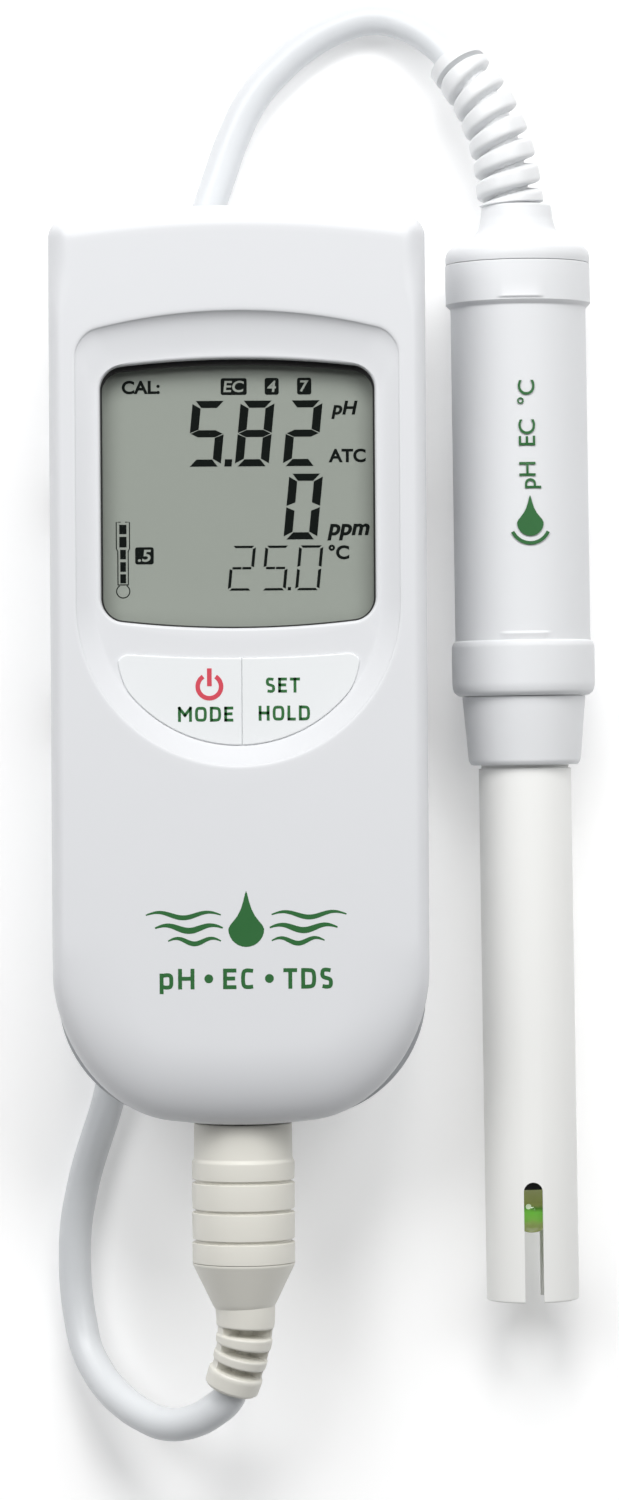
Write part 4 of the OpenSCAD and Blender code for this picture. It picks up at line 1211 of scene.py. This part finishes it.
def wave(x0, x1, y, height, thick):
    """A ribbon that waves from x0 to x1, thin at its ends."""
    t = np.linspace(0, 1, 40)
    path = np.stack([x0 + (x1 - x0) * t, y + height * np.sin(2 * math.pi * 1.5 * t)], axis=1)
    return ribbon(path, thick * (0.25 + 0.75 * np.sin(math.pi * t)))


class METER_OT_keys(Operator):
    """Makes both keys with their marks"""
    bl_idname = "meter.keys"
    bl_label = "Keys"

    def execute(self, context):
        for node, side, body, slot in (("mode_button", -1, "mode_key", "key_white"),
                                       ("set_button", 1, "set_key", "key_white")):
            cap = slab(f"{body}_cap", key_distance(side), (side * 9.0, 7.0), KEY_UNDER_Z, KEY_TOP_Z,
                       steps=480, fillet=0.20)
            dress(cap, "key", body, (node,))
        flat = lambda x, y: KEY_TOP_Z
        power = [ribbon(arc(-4.55, 10.45, 1.8, 122, 418, 40), 0.70),
                 ribbon([(-4.55, 13.25), (-4.55, 10.5)], 0.72)]
        dress(printed("power_mark", power, flat), "power", "mode_key")
        mode = pen("MODE", -9.40, -0.90, 5.05, 7.35, 0.44)
        dress(printed("mode_mark", mode, flat), "print", "mode_key")
        words = pen("SET", 4.13, 9.38, 9.45, 11.75, 0.44) + pen("HOLD", 3.00, 10.90, 5.15, 7.45, 0.44)
        dress(printed("set_mark", words, flat), "print", "set_key")
        return {"FINISHED"}


class METER_OT_marks(Operator):
    """Prints the plain water mark and the quantities on the case and the probe"""
    bl_idname = "meter.marks"
    bl_label = "Printed marks"

    def execute(self, context):
        middle = 0.9
        parts = [prism(drop_shape(middle, -26.8, 2.75, 8.6))]
        for side in (-1, 1):
            for near, far, y, thick in ((3.9, 15.4, -24.6, 0.75), (3.6, 14.0, -26.6, 0.95),
                                        (3.9, 12.0, -28.6, 0.75)):
                parts.append(wave(middle + side * near, middle + side * far, y, 0.42, thick))
        for word, x0, x1 in (("pH", -12.45, -7.1), ("EC", -2.7, 2.2), ("TDS", 6.55, 14.15)):
            parts += pen(word, x0, x1, -36.0, -32.85, 0.60)
        parts += [prism(arc(x, -34.4, 0.68, 0, 345, 23)) for x in (-4.9, 4.4)]
        dress(printed("case_print", parts, face_height), "print", "meter")

        grip = (CAD_GRIP_HIGH.x - CAD_GRIP_LOW.x) / 2 - 0.75
        on_grip = lambda x, y: math.sqrt(grip ** 2 - x ** 2)
        column = [turned(glyphs("pH  EC  °C", 0.0, 17.0, -1.8, 1.8, weight=0.004), 1.0, 41.5)]
        column.append(prism(drop_shape(1.0, 36.1, 2.1, 6.4)))
        column.append(ribbon(arc(1.0, 36.0, 3.1, 205, 335), 0.55))
        dress(printed("probe_print", column, on_grip, place=at_probe()), "print", "lead")
        return {"FINISHED"}


# ---- display --------------------------------------------------------------------------------

LIT = {"0": "abcdef", "1": "bc", "2": "abged", "3": "abgcd", "4": "fgbc", "5": "afgcd",
       "6": "afgedc", "7": "abc", "8": "abcdefg", "9": "abcdfg"}


def digit(figure, x, y, wide, tall, flat, upright, gap, slant=0.1, split=False):
    """The lit segments of one leaning seven-segment figure."""
    half, cut = tall / 2, 0.28 * upright
    shapes = {
        "a": [(gap + cut, tall), (wide - gap - cut, tall), (wide - upright - gap, tall - flat),
              (upright + gap, tall - flat)],
        "b": [(wide, tall - gap - cut), (wide, half + gap), (wide - upright, half + flat / 2 + gap),
              (wide - upright, tall - flat - gap)],
        "c": [(wide, half - gap), (wide, gap + cut), (wide - upright, flat + gap),
              (wide - upright, half - flat / 2 - gap)],
        "g": [(gap * 1.6, half), (upright, half + flat / 2), (wide - upright, half + flat / 2),
              (wide - gap * 1.6, half), (wide - upright, half - flat / 2), (upright, half - flat / 2)]}
    shapes["d"] = [(u, tall - v) for u, v in shapes["a"]]
    shapes["f"] = [(wide - u, v) for u, v in shapes["b"]]
    shapes["e"] = [(wide - u, v) for u, v in shapes["c"]]
    if split:
        nick = wide / 2
        shapes["g"] = [(upright * 0.9, half + flat / 2), (nick - gap / 2, half + flat / 2),
                       (nick - gap / 2, half - flat / 2), (upright * 0.9, half - flat / 2)]
        shapes["h"] = [(wide - u, v) for u, v in shapes["g"]]
    names = LIT[figure] + ("h" if split and "g" in LIT[figure] else "")
    return [prism([(x + u + slant * v, y + v) for u, v in shapes[name]]) for name in names]


def tablet(x0, x1, y0, y1, r=0.35):
    """A small plate with round corners."""
    return prism([*arc(x1 - r, y1 - r, r, 0, 90, 5), *arc(x0 + r, y1 - r, r, 90, 180, 5),
                  *arc(x0 + r, y0 + r, r, 180, 270, 5), *arc(x1 - r, y0 + r, r, 270, 360, 5)])


class METER_OT_display(Operator):
    """Lays the readings on the display"""
    bl_idname = "meter.display"
    bl_label = "Display"

    def execute(self, context):
        settings = context.scene.meter_display
        dark, light = [], []
        angles = np.linspace(0, 2 * math.pi, 480, endpoint=False)
        centre = (0.0, WINDOW_Y)
        low, high = WINDOW_HIGH.z + 0.01, WINDOW_HIGH.z + 0.49
        # The black ring stands for the window's seal; along the top its opening reaches 0.55 mm further in, a
        # strip of painted shade for the lip's shadow on the display.
        upper = smooth((np.cos(angles) - 0.45) / 0.35)
        loops = []
        for inner, z in ((0, low), (1, low), (1, high), (0, high)):
            x, y = outline(window_distance, angles, centre, -0.28 if inner else 1.5)
            loops.append(ring3(x, y - (0.55 * upper if inner else 0), z))
        dress(loft("display_gasket_painted_shade", loops, closed=True), "black", "meter", ("window_seal",))
        self.number(dark, settings.upper, -7.92, 44.5, 5.25, 10.16, 1.10, 1.32, 0.10, 7.42)
        self.number(dark, settings.middle, 6.95, 33.16, 5.2, 10.16, 1.10, 1.32, 0.10, 7.42)
        self.number(dark, settings.lower, -1.71, 25.3, 3.75, 6.93, 0.36, 0.46, 0.14, 5.21, split=True)
        for text, box, shear in (("CAL:", (-17.89, -12.0, 55.76, 57.85), 0.0),
                                 ("pH", (14.48, 18.58, 51.75, 54.55), 0.2),
                                 ("ATC", (14.03, 19.77, 45.02, 47.14), 0.0),
                                 ("ppm", (13.75, 20.31, 32.96, 35.55), 0.2),
                                 ("°C", (13.93, 17.13, 30.02, 32.32), 0.0)):
            dark.append(glyphs(text, *box, shear=shear, weight=0.032))
        for text, x0, x1 in (("EC", -2.59, 1.44), ("4", 4.21, 6.39), ("7", 9.23, 11.43)):
            dark.append(tablet(x0, x1, 55.55, 58.15))
            light.append(glyphs(text, x0 + 0.42, x1 - 0.42, 55.98, 57.74, shear=0.1, weight=0.02))
        dark.append(tablet(-15.97, -13.10, 29.45, 32.10))
        light.append(glyphs(".5", -15.55, -13.55, 29.85, 31.70, shear=0.1, weight=0.02))
        dark += self.electrode()
        top = LCD_HIGH.z
        dress(printed("display_segments", dark, lambda x, y: top, 0.03, 0.02), "segment", "meter")
        clear_figures = printed("display_figures", light, lambda x, y: top + 0.03, 0.03, 0.02)
        dress(clear_figures, "digit_light", "meter")
        return {"FINISHED"}

    def number(self, parts, text, x, y, wide, tall, flat, upright, gap, pitch, split=False):
        """A row of figures, a full stop being a small block after the figure before it."""
        for figure in text:
            if figure == ".":
                size, back = (0.5, 1.15) if split else (0.85 * upright, 1.6)
                parts.append(prism([(x - back, y), (x - back + size, y), (x - back + 1.1 * size, y + size),
                                    (x - back + 0.1 * size, y + size)]))
                continue
            parts += digit(figure, x, y, wide, tall, flat, upright, gap, split=split)
            x += pitch

    def electrode(self):
        """The small electrode that fills with blocks."""
        line = 0.16
        left = [(-18.2, 36.0), (-18.87, 36.0), (-18.87, 31.9), (-18.65, 31.5), (-18.65, 26.3)]
        right = [(-17.5, 36.0), (-16.83, 36.0), (-16.83, 31.9), (-17.05, 31.5), (-17.05, 26.3)]
        foot = [(-18.7, 26.3), (-17.0, 26.3)]
        parts = [ribbon(path, line) for path in (left, right, foot, arc(-17.85, 25.3, 1.02, 122, 418, 30))]
        for low, high in ((34.15, 35.6), (32.1, 33.74), (30.26, 31.73), (28.33, 29.82), (26.55, 27.95)):
            half = 0.56 if high > 32 else 0.44
            start, end = -17.85 - half, -17.85 + half
            parts.append(prism([(start, low), (end, low), (end, high), (start, high)]))
        return parts


# ---- plug -----------------------------------------------------------------------------------

class METER_OT_plug(Operator):
    """Makes the plug's housing, its locking ring and its slotted boot"""
    bl_idname = "meter.plug"
    bl_label = "Plug"

    def execute(self, context):
        place = at_plug()
        ring = [(6.3, -57.6, 0), (7.6, -57.6, 0), (7.7, -57.8, 0.1), (7.7, -63.1, 0.2), (8.05, -63.5, 0.3)]
        for y in (-66.6, -71.2, -75.9):
            ring += [(8.0, y + 0.30, 0.12), (7.45, y + 0.20, 0.05), (7.45, y - 0.20, 0.05),
                     (8.05, y - 0.30, 0.10)]
        ring += [(8.03, -79.3, 0.08), (6.3, -79.3, 0.05), (6.3, -71.1, 0), (5.3, -71.1, 0), (5.3, -69.0, 0),
                 (6.3, -69.0, 0)]
        dress(round_shell("locking_ring", ring, place), "plug", "ring", ("lock_ring",))
        housing = [(3.4, -86.7, 0), (4.5, -86.7, 0.3), (5.0, -85.9, 0.3), (7.75, -80.2, 1.2),
                   (8.0, -79.7, 0.3), (8.03, -79.38, 0.05), (6.0, -79.38, 0.05), (6.0, -71.4, 0),
                   (5.0, -71.4, 0), (5.0, -68.6, 0), (3.4, -68.6, 0)]
        dress(round_shell("plug_shell", housing, place), "plug", "lead", ("plug_housing",))
        dress(self.boot(), "plug", "lead", ("plug_boot",))
        return {"FINISHED"}

    def boot(self):
        """A bent sleeve with slots through its front and back, which leave webs on its sides."""
        path, run = spaced(BOOT, 0.08)
        total = run[-1]
        slots = (5.0, 8.0, 10.9)

        def radius(i, angles):
            outer = 4.75 - 0.05 * run[i] + 0.25 * float(smooth((run[i] - slots[-1]) / 1.5))
            open_side = np.clip((np.abs(np.cos(angles + 0.25)) - 0.38) / 0.10, 0, 1)
            depth = max(float(smooth((0.62 - abs(run[i] - at)) / 0.16 + 0.5)) for at in slots)
            nearest = min(abs(run[i] - at) for at in slots)
            lip = 0.22 * float(smooth((1.0 - nearest) / 0.5))
            end = float(smooth((total - run[i]) / 0.5))
            return (outer - lip - 0.4 * (1 - end)) * (1 - depth * open_side) + 1.3 * depth * open_side

        return swept("plug_sleeve", path, radius, 128)


class METER_OT_ties(Operator):
    """Makes the woven straps that hold the hank"""
    bl_idname = "meter.ties"
    bl_label = "Hank ties"

    def execute(self, context):
        high = LAID_Z + 4.59
        bundles = [[(HANK_X + side * HANK_INNER, LAID_Z), (HANK_X + side * HANK_OUTER, LAID_Z),
                    (HANK_X + side * HANK_UPPER, high)] for side in (1, -1)]
        bundles[1].append((-39.7, LAID_Z - 0.1))
        straps = [self.strap(cords, low) for low in (2.0, 36.0) for cords in bundles]
        dress(join("hank_straps", straps), "strap", "lead", ("hank_ties",))
        return {"FINISHED"}

    def strap(self, cords, low, wide=8.0, thick=0.5):
        """A band pulled tight round these cords, low being its edge nearest to the plug."""
        loop = []
        for k in range(120):
            a = 2 * math.pi * k / 120
            n = (math.cos(a), math.sin(a))
            x, z = max(cords, key=lambda c: c[0] * n[0] + c[1] * n[1])
            loop.append((x, z, n))
        rings = []
        for x, z, n in loop:
            inside, outside = 2.68, 2.68 + thick
            corners = ((inside, 0.0), (inside, wide), (inside + 0.12, wide + 0.1),
                       (outside - 0.12, wide + 0.1), (outside, wide - 0.05), (outside, 0.05),
                       (outside - 0.12, -0.1), (inside + 0.12, -0.1))
            rings.append([(x + r * n[0], low + y, max(z + r * n[1], 0.05)) for r, y in corners])
        return loft("strap", rings, closed=True)


# ---- probe ----------------------------------------------------------------------------------

class METER_OT_probe(Operator):
    """Makes the probe: relief, cap, handle, ferrule, slotted tube and sensing bulb"""
    bl_idname = "meter.probe"
    bl_label = "Probe"

    def execute(self, context):
        place = at_probe()
        cap = [(3.0, 73.55, 0), (9.2, 73.55, 0), (9.2, 74.75, 0), (8.1, 74.75, 0), (8.1, 76.15, 0),
               (9.2, 76.15, 0), (9.2, 77.6, 0), (11.4, 77.6, 0.06), (11.5, 78.6, 0.5), (11.25, 79.7, 0.6),
               (10.2, 80.6, 0.8), (7.8, 81.6, 0.8), (6.3, 82.8, 0.8), (5.75, 84.8, 0.4), (5.5, 87.0, 0.4),
               (3.0, 87.0, 0)]
        dress(round_shell("probe_top", cap, place), "handle", "lead", ("probe_cap",))
        grip = [(9.35, 9.0, 0), (10.3, 9.0, 0.2), (11.05, 9.5, 0.5), (11.35, 10.6, 0.6), (11.35, 16.9, 0.5),
                (11.1, 17.55, 0.3), (10.75, 17.75, 0.2), *[(10.75, 17.85 + 0.15 * k, 0) for k in range(10)],
                (10.75, 70.55, 0.25), (11.15, 70.85, 0.3), (11.5, 71.25, 0.15),
                *[(11.5, 71.3 + 0.14 * k, 0) for k in range(24)], (11.5, 77.5, 0.15), (9.35, 77.5, 0)]
        handle = round_shell("probe_handle", grip, place, 256)
        self.ledge(handle, place, 71.6, 3.9, 1)
        self.ledge(handle, place, 18.9, 4.2, -1)
        dress(handle, "handle", "lead", ("handle_shell",))
        ferrule = [(6.97, -2.0, 0), (8.45, -2.0, 0.25), (8.9, -1.4, 0.4), (9.8, 8.9, 0), (9.3, 8.9, 0),
                   (9.3, 15.0, 0), (6.97, 15.0, 0)]
        dress(round_shell("probe_ferrule", ferrule, place), "handle", "lead", ("ferrule",))
        dress(self.tube(place), "tube", "lead", ("probe_tube",))
        bulb = [(0.02, -76.55)]
        bulb += [(3.12 * math.cos(a), -73.4 + 3.12 * math.sin(a)) for a in np.linspace(-1.5, 0.72, 26)]
        bulb += [(2.4, -71.0), (2.6, -70.3), (3.4, -69.5), (3.4, -69.3), (0.02, -69.3)]
        dress(lathe("sensing_bulb", bulb, place, 64), "bulb", "lead", ("ph_bulb",))
        pitch = context.scene.meter_probe.rib_pitch / MM
        dress(self.relief(pitch), "relief", "lead", ("probe_gland",))
        return {"FINISHED"}

    def ledge(self, obj, place, y, half_wide, way, tall=0.34, fade=1.1):
        """Raises a short soft ledge on the upper side of a turned piece; way 1 faces the tip, -1 the cord."""
        back = place.inverted()
        for vertex in obj.data.vertices:
            local = back @ (vertex.co / MM)
            off = (local.y - y) * way
            if local.z > 9.0 and off > -0.2:
                near = float(smooth((off + 0.15) / 0.25)) * math.exp(-max(off, 0.0) / fade)
                near *= float(smooth((half_wide - abs(local.x)) / 1.2))
                vertex.co += (place.to_3x3() @ Vector((0, 0, tall * near))) * MM

    def tube(self, place):
        """The electrode's outer tube, open below, with a slot through both sides."""
        bore = 5.6
        profile = [(bore, -87.0, 0.2), (7.35, -87.0, 0.35), (7.35, -2.5, 0.3), (6.95, -2.5, 0),
                   (6.95, 17.0, 0.2), (bore, 17.0, 0)]
        start = [(bore, -40.0, 0)]
        tube = round_shell("probe_barrel_tube", start + profile, place, 160)
        top = -67.9
        sections = []
        for z in (-9.0, 9.0):
            points = [(-1.5, -88.5), (1.5, -88.5), *arc(0, top - 1.5, 1.5, 0, 180, 20)]
            sections.append([tuple(place @ Vector((x, y, z))) for x, y in points])
        carve(tube, [loft("slot", sections)])
        return tube

    def relief(self, pitch):
        """A sleeve with one spiral rib that winds up it, and a plain collar at its end."""
        path, run = spaced(RELIEF, 0.16)
        total = run[-1]

        def radius(i, angles):
            t = run[i] / total
            core, outer = 3.1 - 0.3 * t, 5.35 - 0.85 * t
            phase = np.mod(run[i] / pitch - angles / (2 * math.pi) + 0.25, 1.0)
            across = np.abs(phase - 0.5) * pitch / 1.56
            rib = np.clip(1 - across ** 5, 0, 1) ** 0.42
            inside = float(smooth((run[i] - 0.9) / 0.3)) * float(smooth((total - 2.8 - run[i]) / 0.3))
            collar = float(smooth((run[i] - (total - 2.6)) / 0.2))
            collar *= math.sqrt(min(1.0, (total - run[i]) / 0.4 + 0.1))
            return core + (outer - core) * np.maximum(rib * inside, collar * 0.97)

        return swept("relief_sleeve", path, radius, 128)


# ---- pieces that keep the part's own shape ---------------------------------------------------

KEPT = {
    "seal": ("seal_grey", ("case_gasket",)),
    "key": ("key_white", ("key_mat",)),
    "steel": ("steel", ("case_screws", "board_screws", "battery_cover_screws", "battery_springs",
                        "battery_contacts", "temperature_sensor", "ec_pins", "reference_wire")),
    "black": ("black_rubber", ("battery_cover_seal", "socket_seal", "plug_seal", "cap_seal", "ferrule_seal",
                               "electrode_seal")),
    "window": ("clear_window", ("display_window",)),
    "lcd": ("lcd", ("lcd_glass",)),
    "frame": ("frame_plastic", ("lcd_frame",)),
    "zebra": ("zebra", ("zebra_strips",)),
    "board": ("circuit_board", ("main_board", "amplifier_board")),
    "chip": ("chip_black", ("board_parts", "key_switches", "battery_bay", "socket_insulator", "plug_insert")),
    "jacket": ("cell_jacket", ("battery_1", "battery_2", "battery_3")),
    "nickel": ("nickel", ("socket_shell", "plug_shield")),
    "gold": ("contact_gold", ("socket_contacts", "plug_pins")),
    "wire": ("lead_wire", ("socket_leads",)),
    "case": ("case_white", ("battery_cover",)),
    "stem": ("glass_clear", ("electrode_stem",)),
    "cloth": ("junction_cloth", ("reference_junction",)),
}


class METER_OT_kept(Operator):
    """Gives every piece that keeps the part's own mesh its finish"""
    bl_idname = "meter.kept"
    bl_label = "Inner pieces"

    def execute(self, context):
        for finish, (slot, nodes) in KEPT.items():
            for node in nodes:
                dress(frame["nodes"][node], finish)
        plain = [name for name, obj in frame["nodes"].items()
                 if not obj.hide_render and name not in {n for _, nodes in KEPT.values() for n in nodes}]
        if plain:
            raise RuntimeError(f"these pieces have no finish: {plain}")
        return {"FINISHED"}


class METER_OT_finishes(Operator):
    """Builds the shared shader groups and the materials"""
    bl_idname = "meter.finishes"
    bl_label = "Finishes"

    def execute(self, context):
        make_materials(context.scene)
        return {"FINISHED"}


class METER_OT_declare_cord(Operator):
    bl_idname = "meter.declare_cord"
    bl_label = "Cord facts"

    def execute(self, context):
        return {"FINISHED"}


class METER_PT_panel(Panel):
    """Settings and steps of the meter"""
    bl_idname = "METER_PT_panel"
    bl_label = "Meter"
    bl_space_type = "VIEW_3D"
    bl_region_type = "UI"
    bl_category = "Meter"

    def draw(self, context):
        for name, group in SETTINGS:
            box = self.layout.box()
            box.label(text=group.__doc__)
            for prop in group.__annotations__:
                box.prop(getattr(context.scene, name), prop)
        for operator in STEPS:
            self.layout.operator(operator.bl_idname)


SETTINGS = (("meter_stage", MeterStageSettings), ("meter_case", MeterCaseSettings),
            ("meter_display", MeterDisplaySettings), ("meter_plug", MeterPlugSettings),
            ("meter_probe", MeterProbeSettings))
STEPS = (METER_OT_stage, METER_OT_finishes, METER_OT_cord, METER_OT_case, METER_OT_keys, METER_OT_marks,
         METER_OT_display, METER_OT_plug, METER_OT_ties, METER_OT_probe, METER_OT_kept, METER_OT_declare_cord)


def register():
    """Registers the settings, the steps and the panel."""
    for name, group in SETTINGS:
        bpy.utils.register_class(group)
        setattr(bpy.types.Scene, name, PointerProperty(type=group))
    for cls in (*STEPS, METER_PT_panel):
        bpy.utils.register_class(cls)


def unregister():
    """Takes out what register put in."""
    for cls in (METER_PT_panel, *reversed(STEPS)):
        bpy.utils.unregister_class(cls)
    for name, group in reversed(SETTINGS):
        delattr(bpy.types.Scene, name)
        bpy.utils.unregister_class(group)


def main():
    """Builds the whole scene, one step after another."""
    register()
    for step in STEPS:
        group, name = step.bl_idname.split(".")
        if getattr(getattr(bpy.ops, group), name)() != {"FINISHED"}:
            raise RuntimeError(f"{step.bl_label} did not finish")


if __name__ == "__main__":
    main()
